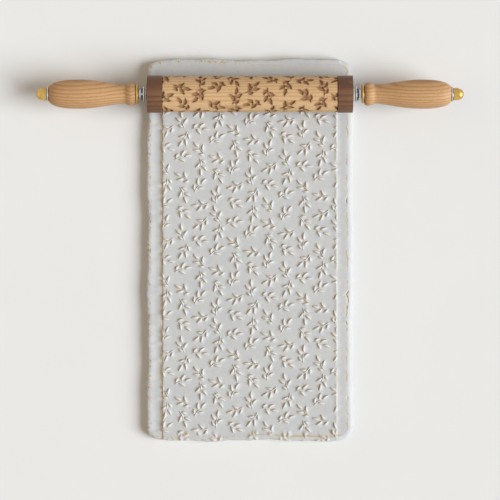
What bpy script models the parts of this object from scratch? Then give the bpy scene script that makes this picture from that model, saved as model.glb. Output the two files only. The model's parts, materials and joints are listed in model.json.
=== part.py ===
"""Clay texture roller at rest on the strip of clay that it has rolled.

Metres, +Z up. The origin is the centre of the strip's underside. +X runs along the drum's axis
and +Y is the way the roller has travelled, so the clay beyond it is still plain and thicker.
"""

import math

import bmesh
import bpy
from mathutils import Matrix, Vector

mm = 0.001
full_turn = 2 * math.pi

# Fits
fit_gap = 0.3 * mm
running_gap = 0.15 * mm
cutter_overrun = 4 * mm

# Clay strip
strip_length = 224 * mm
band_thickness = 5.5 * mm
margin_step = 0.35 * mm
unrolled_thickness = 6.6 * mm
strip_corner_radius = 7 * mm
strip_edge_round = 1.2 * mm
print_root = 0.05 * mm
nip_to_far_end = 21 * mm

# Textured sleeve and its core
pattern_width = 101.6 * mm
sleeve_radius = 10.5 * mm
sleeve_wall = 2.5 * mm
engraving_depth = 0.8 * mm
core_bore_gap = 1 * mm

# End rims, which press the plain margins
rim_width = 8.9 * mm
rim_edge_round = 0.3 * mm

# Axle rod
rod_radius = 2.5 * mm
rod_end_radius = 2 * mm
rod_chamfer = 0.5 * mm
ring_groove_depth = 0.6 * mm
groove_land = 1.4 * mm

# Bushes, washers and rings on the rod
bush_wall = 0.8 * mm
bush_flange_rise = 0.6 * mm
bush_flange_thickness = 1 * mm
washer_rise = 1.7 * mm
washer_thickness = 0.8 * mm
ring_thickness = 0.6 * mm
ring_band = 1.6 * mm
ring_mouth = 2.6 * mm

# Rim screws, sized and placed in the core's wall between the bush and the sleeve
screw_count = 3
screw_circle_share = 0.595
screw_shank_share = 0.2025
screw_head_to_shank_share = 1.875
screw_head_depth = 1.2 * mm
screw_length = 14 * mm
screw_slot_width = 0.45 * mm
screw_slot_depth = 0.5 * mm

# Handles with their ferrules and nuts
ferrule_wall = 1.4 * mm
ferrule_length = 11 * mm
ferrule_flange_rise = 1.9 * mm
ferrule_flange_thickness = 1.2 * mm
handle_length = 50.5 * mm
handle_radius = 8.5 * mm
end_washer_rise = 2.2 * mm
nut_across_flats = 7 * mm
nut_hex_height = 3.2 * mm
nut_dome_height = 2.9 * mm
nut_thread_depth = 3.8 * mm
nut_dome_inset = 0.35 * mm

# Handle outline: share of its length from the drum, share of its greatest radius
handle_outline_shares = (
    (0.0, 0.68), (0.02, 0.77), (0.055, 0.8), (0.09, 0.74), (0.12, 0.66), (0.17, 0.66),
    (0.28, 0.75), (0.42, 0.89), (0.56, 0.98), (0.68, 1.0), (0.8, 0.97), (0.9, 0.87),
    (0.96, 0.73), (0.99, 0.6), (1.0, 0.52),
)

# Leaf sprigs of the engraving
sprig_spacing_across = 10.1 * mm
sprig_spacing_around = 10.9 * mm
stem_length = 5.6 * mm
stem_width = 0.7 * mm
stem_bow = 0.55 * mm
sprig_tail = 5.2 * mm
leaf_length = 4.4 * mm
leaf_width = 1.55 * mm
leaf_bow = 0.3 * mm
leaf_gap = 0.45 * mm
leaf_belly_share = 0.42
turn_step_share = 0.618034
first_row_share = 0.17
first_column_share = 0.12

# Leaves of one sprig: share of the leaf length, share of the stem at the foot, lean in turns
sprig_leaf_shares = (
    (1.0, 1.0, 0.0),
    (0.98, 0.72, 0.115),
    (0.93, 0.4, -0.125),
    (0.75, 0.12, 0.13),
)

# Facets round the turned pieces
sleeve_facets = 32
drum_facets = 36
handle_facets = 24
small_facets = 20
corner_facets = 5
edge_facets = 3

# Places worked out from the sizes above
half_pattern = pattern_width / 2
rim_inner_x = half_pattern + fit_gap
rim_outer_x = rim_inner_x + rim_width
strip_width = 2 * rim_outer_x
margin_thickness = band_thickness - margin_step
rim_radius = sleeve_radius + margin_step
axis_y = strip_length / 2 - nip_to_far_end
axis_z = band_thickness + fit_gap + sleeve_radius
core_radius = sleeve_radius - sleeve_wall - fit_gap
sprig_columns = int(pattern_width / sprig_spacing_across)
sprig_rows = int(full_turn * sleeve_radius / sprig_spacing_around)
bush_radius = rod_radius + running_gap + bush_wall
bush_hole_radius = bush_radius + fit_gap
screw_wall = core_radius - bush_hole_radius
screw_circle_radius = bush_hole_radius + screw_circle_share * screw_wall
screw_shank_radius = screw_shank_share * screw_wall
screw_head_radius = screw_head_to_shank_share * screw_shank_radius
flange_x = rim_outer_x + fit_gap
washer_x = flange_x + bush_flange_thickness + fit_gap
ring_x = washer_x + washer_thickness + fit_gap
shoulder_x = ring_x + ring_thickness + fit_gap + groove_land
ferrule_x = shoulder_x + fit_gap
ferrule_radius = rod_end_radius + fit_gap + ferrule_wall
handle_x = ferrule_x + ferrule_flange_thickness + fit_gap
handle_end_x = handle_x + handle_length
end_washer_x = handle_end_x + fit_gap
nut_x = end_washer_x + washer_thickness + fit_gap
rod_end_x = nut_x + nut_thread_depth - fit_gap


def clear_scene():
    for old in list(bpy.data.objects):
        bpy.data.objects.remove(old)


def new_collection(name, rendered):
    collection = bpy.data.collections.new(name)
    collection.hide_render = not rendered
    bpy.context.scene.collection.children.link(collection)
    return collection


clear_scene()
parts = new_collection("clay_texture_roller", True)
cutters = new_collection("cutters", False)


def finish_material(name, colour, roughness, metallic):
    material = bpy.data.materials.new(name)
    material.use_nodes = True
    shader = material.node_tree.nodes["Principled BSDF"]
    shader.inputs["Base Color"].default_value = (*colour, 1)
    shader.inputs["Roughness"].default_value = roughness
    shader.inputs["Metallic"].default_value = metallic
    material.diffuse_color = (*colour, 1)
    return material


def add_object(name, mesh, collection=parts):
    made = bpy.data.objects.new(name, mesh)
    collection.objects.link(made)
    if collection is cutters:
        made.hide_render = True
        made.display_type = "WIRE"
    return made


def add_empty(name, location):
    empty = bpy.data.objects.new(name, None)
    parts.objects.link(empty)
    empty.location = location
    return empty


def on_axis(piece, side=1):
    """Hangs a piece on the drum's axis, with its own +Z pointing away from the middle."""
    piece.parent = drum_axis
    piece.rotation_euler = (0, side * math.pi / 2, 0)
    return piece


def edge_mesh(name, outline, closed):
    """A mesh of the outline's points joined by edges, each point given as radius and height."""
    shape = bmesh.new()
    points = [shape.verts.new((radius, 0, height)) for radius, height in outline]
    for first, second in zip(points, points[1:]):
        shape.edges.new((first, second))
    if closed:
        shape.edges.new((points[-1], points[0]))
    mesh = bpy.data.meshes.new(name)
    shape.to_mesh(mesh)
    shape.free()
    return mesh


def turn_outline(piece, facets):
    """Spins the piece's outline round its own Z."""
    screw = piece.modifiers.new("turned", "SCREW")
    screw.steps = facets
    screw.render_steps = facets
    screw.use_merge_vertices = True
    screw.merge_threshold = fit_gap / 100
    screw.use_smooth_shade = True
    return piece


def turned(name, outline, facets, closed=True, collection=parts):
    return turn_outline(add_object(name, edge_mesh(name, outline, closed), collection), facets)


def evaluated_mesh(piece):
    """The piece's modifiers applied, as a mesh of its own. The piece is removed."""
    bpy.context.view_layer.update()
    graph = bpy.context.evaluated_depsgraph_get()
    mesh = bpy.data.meshes.new_from_object(piece.evaluated_get(graph))
    bpy.data.objects.remove(piece)
    return mesh


def cut(piece, cutter, operation="DIFFERENCE"):
    boolean = piece.modifiers.new(cutter.name, "BOOLEAN")
    boolean.operation = operation
    boolean.solver = "EXACT"
    boolean.object = cutter
    return piece


def tube_outline(outer, inner, start, end, edge=0):
    """A ring's section, with its outer corners bevelled by edge."""
    if not edge:
        return [(outer, end), (outer, start), (inner, start), (inner, end)]
    return [
        (outer - edge, end),
        (outer, end - edge),
        (outer, start + edge),
        (outer - edge, start),
        (inner, start),
        (inner, end),
    ]


def arc_points(centre_y, centre_z, radius, start_turn, end_turn, count):
    """Points on an arc in a plane, with turns counted from +Y towards +Z."""
    for step in range(count + 1):
        angle = full_turn * (start_turn + (end_turn - start_turn) * step / count)
        yield centre_y + radius * math.cos(angle), centre_z + radius * math.sin(angle)


def extruded(name, outline, thickness, collection=parts):
    """A flat outline, filled and extruded evenly about its own plane, as a mesh object."""
    curve = bpy.data.curves.new(name, "CURVE")
    curve.dimensions = "2D"
    curve.fill_mode = "BOTH"
    curve.extrude = thickness / 2
    spline = curve.splines.new("POLY")
    spline.points.add(len(outline) - 1)
    for point, (across, up) in zip(spline.points, outline):
        point.co = (across, up, 0, 1)
    spline.use_cyclic_u = True
    mesh = evaluated_mesh(add_object(name, curve, cutters))
    shape = bmesh.new()
    shape.from_mesh(mesh)
    bmesh.ops.remove_doubles(shape, verts=shape.verts, dist=fit_gap / 100)
    bmesh.ops.recalc_face_normals(shape, faces=shape.faces)
    shape.to_mesh(mesh)
    shape.free()
    return add_object(name, mesh, collection)


def strip_plan():
    """The strip seen from above: a rectangle with rounded corners."""
    reach_x = strip_width / 2 - strip_corner_radius
    reach_y = strip_length / 2 - strip_corner_radius
    plan = []
    for corner, (sign_x, sign_y) in enumerate(((1, 1), (-1, 1), (-1, -1), (1, -1))):
        plan += arc_points(
            sign_x * reach_x, sign_y * reach_y, strip_corner_radius,
            corner / 4, (corner + 1) / 4, corner_facets,
        )
    return plan


def rolled_away(name, thickness, radius, start_x, end_x):
    """The space that a rolling cylinder clears: flat behind its nip and an arc ahead of it."""
    start_y = -strip_length / 2 - cutter_overrun
    side = [(start_y, axis_z), (start_y, thickness)]
    side += arc_points(axis_y, axis_z, radius, -1 / 4, 0, drum_facets // 4)
    cutter = extruded(name, side, end_x - start_x, cutters)
    cutter.rotation_euler = (math.pi / 2, 0, math.pi / 2)
    cutter.location.x = (start_x + end_x) / 2
    return cutter


def round_top_edges(mesh):
    """Rounds the strip's outer top edges, which run at its full width and length."""
    shape = bmesh.new()
    shape.from_mesh(mesh)
    bmesh.ops.remove_doubles(shape, verts=shape.verts, dist=fit_gap / 100)
    bmesh.ops.dissolve_limit(
        shape, angle_limit=full_turn / 1000, verts=shape.verts, edges=shape.edges
    )
    outer = [
        edge
        for edge in shape.edges
        if edge.is_manifold
        and min(vertex.co.z for vertex in edge.verts) > margin_thickness / 2
        and sorted(face.normal.z > 0.2 for face in edge.link_faces) == [False, True]
        and all(on_strip_outline(vertex.co) for vertex in edge.verts)
    ]
    bmesh.ops.bevel(
        shape, geom=outer, offset=strip_edge_round, offset_type="OFFSET",
        segments=edge_facets, profile=0.5, affect="EDGES", clamp_overlap=True,
    )
    shape.to_mesh(mesh)
    shape.free()


def on_strip_outline(point):
    """Whether a point stands on the strip's outer wall, within a fit's gap."""
    reach_x = strip_width / 2 - strip_corner_radius
    reach_y = strip_length / 2 - strip_corner_radius
    past_x = max(abs(point.x) - reach_x, 0)
    past_y = max(abs(point.y) - reach_y, 0)
    return math.hypot(past_x, past_y) > strip_corner_radius - fit_gap


def make_clay_strip():
    slab = extruded("clay_strip", strip_plan(), unrolled_thickness)
    slab.location.z = unrolled_thickness / 2
    band_radius = sleeve_radius + fit_gap
    margin_radius = rim_radius + fit_gap
    outer_x = strip_width / 2 + cutter_overrun
    cut(slab, rolled_away("band_path", band_thickness, band_radius, -outer_x, outer_x))
    cut(slab, rolled_away("left_path", margin_thickness, margin_radius, -outer_x, -half_pattern))
    cut(slab, rolled_away("right_path", margin_thickness, margin_radius, half_pattern, outer_x))
    location = slab.location.copy()
    mesh = evaluated_mesh(slab)
    mesh.transform(Matrix.Translation(location))
    round_top_edges(mesh)
    strip = add_object("clay_strip", mesh)
    cut(strip, make_print(), "UNION")
    strip.data.materials.clear()
    strip.data.materials.append(clay)
    return strip


def leaf_points(foot, heading, length):
    """A slender bowed leaf as a kite: foot, belly, tip, belly."""
    along = Vector((math.cos(heading), math.sin(heading)))
    across = Vector((-along.y, along.x))
    belly = foot + along * length * leaf_belly_share + across * leaf_bow
    half = across * leaf_width / 2
    return [foot, belly - half, foot + along * length, belly + half]


def stem_points():
    """The bowed stem, from its tail to its head."""
    middle = Vector((stem_length / 2 - sprig_tail, stem_bow))
    tail = Vector((-sprig_tail, 0))
    head = Vector((stem_length - sprig_tail, 0))
    half = Vector((0, stem_width / 2))
    return [tail, middle - half, head, middle + half]


def sprig_shapes():
    """The stem and leaves of one sprig, centred on its own origin with its tip towards +X."""
    shapes = [stem_points()]
    for length_share, share, lean_turns in sprig_leaf_shares:
        length = length_share * leaf_length
        lean = full_turn * lean_turns
        foot = Vector((stem_length * share - sprig_tail, 4 * stem_bow * share * (1 - share)))
        side = Vector((math.cos(lean), math.sin(lean)))
        shapes.append(leaf_points(foot + side * (leaf_gap + stem_width / 2), lean, length))
    return shapes


def sprig_places():
    """Where each sprig stands on the unrolled sleeve, and its heading: a half-drop layout."""
    column_pitch = pattern_width / sprig_columns
    row_pitch = full_turn * sleeve_radius / sprig_rows
    for column in range(sprig_columns + 1):
        for row in range(sprig_rows):
            index = column * sprig_rows + row
            across = (column + first_column_share) * column_pitch - half_pattern
            around = (row + (column % 2) / 2 + first_row_share) * row_pitch
            yield across, around, full_turn * ((index + first_row_share) * turn_step_share % 1)


def placed_sprigs():
    """Every leaf and stem outline on the unrolled sleeve."""
    sprig = sprig_shapes()
    for across, around, heading in sprig_places():
        turn = Matrix.Rotation(heading, 2)
        place = Vector((across, around))
        for outline in sprig:
            yield [place + turn @ point for point in outline]


def printed_outlines():
    """The outlines that the sleeve has left on the clay behind its nip, whole ones only."""
    circumference = full_turn * sleeve_radius
    back = 2 * strip_edge_round - strip_length / 2
    reach = half_pattern - fit_gap
    for turn_back in range(1, math.ceil((axis_y + strip_length / 2) / circumference) + 1):
        shift = Vector((0, axis_y - turn_back * circumference))
        for outline in placed_sprigs():
            printed = [point + shift for point in outline]
            if all(abs(point.x) < reach and back < point.y < axis_y for point in printed):
                yield printed


def make_print():
    """The leaves and stems raised on the clay: each a low four-sided peak over its belly."""
    shape = bmesh.new()
    peak = band_thickness + engraving_depth
    root = band_thickness - print_root
    spread = 1 + print_root / engraving_depth
    for outline in printed_outlines():
        middle = (outline[1] + outline[3]) / 2
        foot = [middle + (point - middle) * spread for point in outline]
        corners = [shape.verts.new((point.x, point.y, root)) for point in foot]
        top = shape.verts.new((middle.x, middle.y, peak))
        for corner, after in zip(corners, corners[1:] + corners[:1]):
            shape.faces.new((corner, after, top))
        shape.faces.new(corners[::-1])
    bmesh.ops.recalc_face_normals(shape, faces=shape.faces)
    mesh = bpy.data.meshes.new("clay_print")
    shape.to_mesh(mesh)
    shape.free()
    return add_object("clay_print", mesh, cutters)


def pocket_prism(shape, outline):
    """Adds a closed prism to the cutter: the outline wrapped on the sleeve, floor to outside."""
    floor_radius = sleeve_radius - engraving_depth
    top_radius = sleeve_radius + engraving_depth
    rings = []
    for radius in (floor_radius, top_radius):
        ring = []
        for across, around in outline:
            angle = around / sleeve_radius
            ring.append(
                shape.verts.new((radius * math.cos(angle), radius * math.sin(angle), across))
            )
        rings.append(ring)
    floor, top = rings
    count = len(outline)
    for turn in range(count):
        after = (turn + 1) % count
        shape.faces.new((floor[turn], floor[after], top[after], top[turn]))
    for ring, order in ((floor, -1), (top, 1)):
        shape.faces.new((ring[0], ring[1], ring[3])[::order])
        shape.faces.new((ring[1], ring[2], ring[3])[::order])


def make_engraving():
    """All the sprigs' pockets, as one cutter round the sleeve's own Z."""
    shape = bmesh.new()
    for outline in placed_sprigs():
        pocket_prism(shape, outline)
    bmesh.ops.recalc_face_normals(shape, faces=shape.faces)
    mesh = bpy.data.meshes.new("engraving")
    shape.to_mesh(mesh)
    shape.free()
    return on_axis(add_object("engraving", mesh, cutters))


def make_sleeve():
    inner = sleeve_radius - sleeve_wall
    outline = tube_outline(sleeve_radius, inner, -half_pattern, half_pattern)
    sleeve = on_axis(turned("texture_sleeve", outline, sleeve_facets))
    cut(sleeve, make_engraving())
    sleeve.data.materials.append(engraved_wood)
    return sleeve


def screw_spots():
    """The rim screws' places round the drum's axis."""
    for number in range(screw_count):
        angle = full_turn * number / screw_count
        yield Vector((math.cos(angle), math.sin(angle), 0)) * screw_circle_radius


def block_mesh(name, size, centre):
    """A box of the given size round its centre."""
    shape = bmesh.new()
    bmesh.ops.create_cube(shape, size=1)
    bmesh.ops.scale(shape, vec=size, verts=shape.verts)
    bmesh.ops.translate(shape, vec=centre, verts=shape.verts)
    mesh = bpy.data.meshes.new(name)
    shape.to_mesh(mesh)
    shape.free()
    return mesh


def copies_at(mesh, spots, name, collection):
    """One object of separate copies of a mesh, one at each spot."""
    shape = bmesh.new()
    for spot in spots:
        before = len(shape.verts)
        shape.from_mesh(mesh)
        shape.verts.ensure_lookup_table()
        bmesh.ops.translate(shape, verts=shape.verts[before:], vec=spot)
    joined = bpy.data.meshes.new(name)
    shape.to_mesh(joined)
    shape.free()
    return add_object(name, joined, collection)


def screw_outline():
    """A countersunk screw, head outwards, from its flat top to its point."""
    end = rim_outer_x - screw_length
    return [
        (0, rim_outer_x),
        (screw_head_radius, rim_outer_x),
        (screw_shank_radius, rim_outer_x - screw_head_depth),
        (screw_shank_radius, end + screw_shank_radius),
        (0, end),
    ]


def screw_hole_outline():
    """The screw's countersunk hole, a fit's gap wider and deeper than the screw all round."""
    open_end = rim_outer_x + cutter_overrun
    end = rim_outer_x - screw_length - fit_gap
    return [
        (0, open_end),
        (screw_head_radius + fit_gap, open_end),
        (screw_head_radius + fit_gap, rim_outer_x - fit_gap),
        (screw_shank_radius + fit_gap, rim_outer_x - screw_head_depth - fit_gap),
        (screw_shank_radius + fit_gap, end + screw_shank_radius),
        (0, end),
    ]


def make_screws(side_name, side):
    """One rim's screws, each a node of its own with a slot across its head."""
    outline = screw_outline()
    slot_size = (3 * screw_head_radius, screw_slot_width, 2 * screw_slot_depth)
    for number, spot in enumerate(screw_spots(), 1):
        label = side_name + "_" + str(number)
        shank = evaluated_mesh(turned("one_screw", outline, small_facets // 2, False, cutters))
        shank.transform(Matrix.Translation(spot))
        screw = on_axis(add_object("rim_screw_" + label, shank), side)
        slot = block_mesh("slot", slot_size, spot + Vector((0, 0, rim_outer_x)))
        cut(screw, on_axis(add_object("slot_" + label, slot, cutters), side))
        screw.data.materials.clear()
        screw.data.materials.append(bright_steel)


def make_screw_holes(side_name, side):
    hole = evaluated_mesh(
        turned("one_hole", screw_hole_outline(), small_facets // 2, False, cutters)
    )
    return on_axis(copies_at(hole, screw_spots(), "screw_holes_" + side_name, cutters), side)


def make_core(screw_holes):
    outline = tube_outline(core_radius, rod_radius + core_bore_gap, -half_pattern, half_pattern)
    core = on_axis(turned("barrel_core", outline, drum_facets))
    for holes in screw_holes:
        cut(core, holes)
    core.data.materials.append(pale_wood)
    return core


def make_rim(side_name, side, holes):
    outline = tube_outline(
        rim_radius, bush_hole_radius, rim_inner_x, rim_outer_x, rim_edge_round
    )
    rim = on_axis(turned("end_rim_" + side_name, outline, drum_facets), side)
    cut(rim, holes)
    rim.data.materials.append(dark_wood)
    return rim


def make_bush(side_name, side):
    flange = bush_radius + bush_flange_rise
    outline = [
        (flange, flange_x + bush_flange_thickness),
        (flange, flange_x),
        (bush_radius, flange_x),
        (bush_radius, rim_inner_x),
        (rod_radius + running_gap, rim_inner_x),
        (rod_radius + running_gap, flange_x + bush_flange_thickness),
    ]
    bush = on_axis(turned("bush_" + side_name, outline, small_facets), side)
    bush.data.materials.append(nylon)
    return bush


def make_rod():
    groove = rod_radius - ring_groove_depth
    half = [
        (0, rod_end_x),
        (rod_end_radius - rod_chamfer, rod_end_x),
        (rod_end_radius, rod_end_x - rod_chamfer),
        (rod_end_radius, shoulder_x),
        (rod_radius, shoulder_x),
        (rod_radius, ring_x + ring_thickness + fit_gap),
        (groove, ring_x + ring_thickness + fit_gap),
        (groove, ring_x - fit_gap),
        (rod_radius, ring_x - fit_gap),
    ]
    outline = half + [(radius, -along) for radius, along in reversed(half)]
    rod = on_axis(turned("axle_rod", outline, small_facets, closed=False))
    rod.data.materials.append(bright_steel)
    return rod


def make_washer(name, side, start, bore, rise):
    outline = tube_outline(bore + rise, bore, start, start + washer_thickness)
    washer = on_axis(turned(name, outline, small_facets), side)
    washer.data.materials.append(bright_steel)
    return washer


def make_ring(side_name, side):
    bore = rod_radius - ring_groove_depth + fit_gap
    outline = tube_outline(bore + ring_band, bore, ring_x, ring_x + ring_thickness)
    ring = on_axis(turned("retaining_ring_" + side_name, outline, small_facets), side)
    reach = 2 * rod_radius + ring_band
    mouth = block_mesh("mouth", (reach, ring_mouth, 2 * cutter_overrun), (reach / 2, 0, ring_x))
    cut(ring, on_axis(add_object("ring_mouth_" + side_name, mouth, cutters), side))
    ring.data.materials.append(dark_steel)
    return ring


def make_ferrule(side_name, side):
    bore = rod_end_radius + fit_gap
    flange = ferrule_radius + ferrule_flange_rise
    outline = [
        (ferrule_radius, handle_x + ferrule_length),
        (ferrule_radius, handle_x - fit_gap),
        (flange, handle_x - fit_gap),
        (flange, ferrule_x),
        (bore, ferrule_x),
        (bore, handle_x + ferrule_length),
    ]
    ferrule = on_axis(turned("handle_ferrule_" + side_name, outline, small_facets), side)
    ferrule.data.materials.append(brass)
    return ferrule


def make_handle(side_name, side):
    bore = rod_end_radius + fit_gap
    socket = ferrule_radius + fit_gap
    socket_end = handle_x + ferrule_length + fit_gap
    outside = [
        (radius_share * handle_radius, handle_x + length_share * handle_length)
        for length_share, radius_share in reversed(handle_outline_shares)
    ]
    inside = [(socket, handle_x), (socket, socket_end), (bore, socket_end), (bore, handle_end_x)]
    handle = on_axis(turned("handle_" + side_name, outside + inside, handle_facets), side)
    handle.data.materials.append(handle_wood)
    return handle


def make_cap_nut(side_name, side):
    hexagon = bmesh.new()
    corner_radius = nut_across_flats / 2 / math.cos(full_turn / 12)
    bmesh.ops.create_cone(
        hexagon, cap_ends=True, segments=6, radius1=corner_radius, radius2=corner_radius,
        depth=nut_hex_height,
    )
    bmesh.ops.translate(hexagon, vec=(0, 0, nut_x + nut_hex_height / 2), verts=hexagon.verts)
    mesh = bpy.data.meshes.new("cap_nut_" + side_name)
    hexagon.to_mesh(mesh)
    hexagon.free()
    nut = on_axis(add_object("cap_nut_" + side_name, mesh), side)
    dome_radius = nut_across_flats / 2 - nut_dome_inset
    foot = nut_x + nut_hex_height
    outline = [(0, foot + nut_dome_height)]
    for step in range(1, corner_facets + 1):
        angle = full_turn / 4 * step / corner_facets
        height = foot + nut_dome_height * math.cos(angle)
        outline.append((dome_radius * math.sin(angle), height))
    outline += [(dome_radius, nut_x + nut_hex_height / 2), (0, nut_x + nut_hex_height / 2)]
    dome = turned("dome_" + side_name, outline, small_facets, False, cutters)
    cut(nut, on_axis(dome, side), "UNION")
    bore = rod_end_radius + fit_gap
    drill = [
        (0, nut_x + nut_thread_depth),
        (bore, nut_x + nut_thread_depth),
        (bore, nut_x - cutter_overrun),
        (0, nut_x - cutter_overrun),
    ]
    cut(nut, on_axis(turned("drill_" + side_name, drill, small_facets, False, cutters), side))
    nut.data.materials.append(brass)
    return nut


clay = finish_material("clay", (0.62, 0.61, 0.57), 0.85, 0)
engraved_wood = finish_material("engraved_wood", (0.66, 0.44, 0.24), 0.55, 0)
pale_wood = finish_material("pale_wood", (0.7, 0.52, 0.32), 0.6, 0)
dark_wood = finish_material("dark_wood", (0.36, 0.17, 0.08), 0.5, 0)
handle_wood = finish_material("handle_wood", (0.6, 0.37, 0.19), 0.45, 0)
bright_steel = finish_material("bright_steel", (0.7, 0.7, 0.71), 0.3, 1)
dark_steel = finish_material("dark_steel", (0.12, 0.12, 0.13), 0.4, 1)
nylon = finish_material("nylon", (0.82, 0.81, 0.76), 0.5, 0)
brass = finish_material("brass", (0.78, 0.57, 0.24), 0.3, 1)

drum_axis = add_empty("drum_axis", (0, axis_y, axis_z))
make_clay_strip()
make_sleeve()
make_rod()
both_holes = []
for side_name, side in (("left", -1), ("right", 1)):
    holes = make_screw_holes(side_name, side)
    both_holes.append(holes)
    make_rim(side_name, side, holes)
    make_screws(side_name, side)
    make_bush(side_name, side)
    make_washer("spacer_washer_" + side_name, side, washer_x, rod_radius + fit_gap, washer_rise)
    make_ring(side_name, side)
    make_ferrule(side_name, side)
    make_handle(side_name, side)
    make_washer(
        "end_washer_" + side_name, side, end_washer_x, rod_end_radius + fit_gap, end_washer_rise
    )
    make_cap_nut(side_name, side)
make_core(both_holes)
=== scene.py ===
"""Looks of the clay texture roller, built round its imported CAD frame.

The roller rests at the far end of a strip of pale clay that it has just rolled. The strip carries
the sleeve's leaf sprigs as a raised print, and the sleeve carries them as burnt pockets.
"""

import json
import math

import bmesh
import bpy
import numpy as np
from mathutils import Matrix, Vector, geometry, noise


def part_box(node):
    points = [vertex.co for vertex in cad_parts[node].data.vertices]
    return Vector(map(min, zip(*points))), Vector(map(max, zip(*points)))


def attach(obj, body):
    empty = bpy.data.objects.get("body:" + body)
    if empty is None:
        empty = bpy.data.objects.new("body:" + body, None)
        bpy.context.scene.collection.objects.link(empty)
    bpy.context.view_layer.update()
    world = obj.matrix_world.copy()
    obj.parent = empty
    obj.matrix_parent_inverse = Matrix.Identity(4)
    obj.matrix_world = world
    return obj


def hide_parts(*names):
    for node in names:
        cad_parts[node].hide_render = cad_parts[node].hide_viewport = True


mm = 0.001
full_turn = 2 * math.pi

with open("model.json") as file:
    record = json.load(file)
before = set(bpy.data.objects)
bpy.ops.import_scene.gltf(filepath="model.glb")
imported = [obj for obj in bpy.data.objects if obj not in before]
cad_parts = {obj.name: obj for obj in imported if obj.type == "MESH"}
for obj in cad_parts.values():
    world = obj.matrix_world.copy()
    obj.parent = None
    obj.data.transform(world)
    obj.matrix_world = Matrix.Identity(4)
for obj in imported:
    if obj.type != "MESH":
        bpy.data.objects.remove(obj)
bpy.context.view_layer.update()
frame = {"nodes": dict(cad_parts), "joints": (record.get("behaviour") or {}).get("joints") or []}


def outer_radius(low, high):
    return (high.z - low.z) / 2


# Sizes read from the frame
_, axis_y, axis_z = next(
    joint["pos_m"] for joint in frame["joints"] if joint["name"] == "drum_spin"
)
_, strip_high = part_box("clay_strip")
sleeve_low, sleeve_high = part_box("texture_sleeve")
rim_low, rim_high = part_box("end_rim_right")
handle_low, handle_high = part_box("handle_right")
ferrule_low, ferrule_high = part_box("handle_ferrule_right")
bush_low, bush_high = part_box("bush_right")
washer_low, washer_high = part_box("spacer_washer_right")
ring_low, ring_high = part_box("retaining_ring_right")
end_washer_low, end_washer_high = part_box("end_washer_right")
nut_low, nut_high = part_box("cap_nut_right")
_, rod_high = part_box("axle_rod")
core_low, core_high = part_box("barrel_core")

half_width = strip_high.x
half_length = strip_high.y
unrolled_thickness = strip_high.z
half_pattern = sleeve_high.x
sleeve_radius = outer_radius(sleeve_low, sleeve_high)
core_radius = outer_radius(core_low, core_high)
rim_radius = outer_radius(rim_low, rim_high)
fit_gap = 0.3 * mm
band_thickness = axis_z - sleeve_radius - fit_gap
margin_thickness = axis_z - rim_radius - fit_gap
roll_length = full_turn * sleeve_radius

# The leaf sprigs, laid out as on the frame's sleeve
sprig_columns = 10
sprig_rows = 6
stem_length = 5.6 * mm
stem_width = 0.8 * mm
stem_bow = 0.55 * mm
sprig_tail = 5.2 * mm
leaf_length = 4.4 * mm
leaf_width = 1.84 * mm
leaf_bow = 0.3 * mm
leaf_gap = 0.35 * mm
turn_step_share = 0.618034
first_row_share = 0.17
first_column_share = 0.12

# Leaves of one sprig: share of the leaf length, share of the stem at the foot, lean in turns
sprig_leaf_shares = (
    (1.0, 1.0, 0.0),
    (0.98, 0.72, 0.115),
    (0.93, 0.4, -0.125),
    (0.75, 0.12, 0.13),
)

# Where a leaf or stem has its outline points, as shares of its length
leaf_station_shares = (0.05, 0.15, 0.28, 0.42, 0.56, 0.7, 0.84, 0.95)
ridge_station_shares = (0.12, 0.28, 0.42, 0.58, 0.74, 0.9)

# How full outlines and crests are: the lower, the blunter. A leaf is widest nearer its foot.
leaf_foot_power = 0.8
leaf_fullness = 0.75
stem_fullness = 0.5
crest_fullness = 0.45
tip_spread_share = 1.4

# The print's section: share of the half width, share of the height
print_section_shares = ((0.0, 1.0), (0.3, 0.94), (0.66, 0.68), (1.0, 0.1))
print_height = 0.85 * mm
print_fillet = 0.12 * mm
print_reach = 4 * print_fillet
stem_height_share = 0.8
pocket_depth = 0.8 * mm
pocket_spread = 0.1 * mm
pocket_wall = 0.07 * mm
scorch_strength = 1.3
scorch_spread = 4 * pocket_spread
scorch_reach = 6 * pocket_spread

# The least sizes that count in a mesh: how near two points of a plane or of a seam are one, a
# triangle's side, a shape's half width and a radius. An edge that turns by more of a turn is
# sharp.
merge_reach = 1e-4 * mm
seam_reach = 1e-3 * mm
least_side = 1e-5 * mm
least_width = 1e-3 * mm
least_radius = 1e-6 * mm
piece_sharp_turns = 0.11


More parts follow.
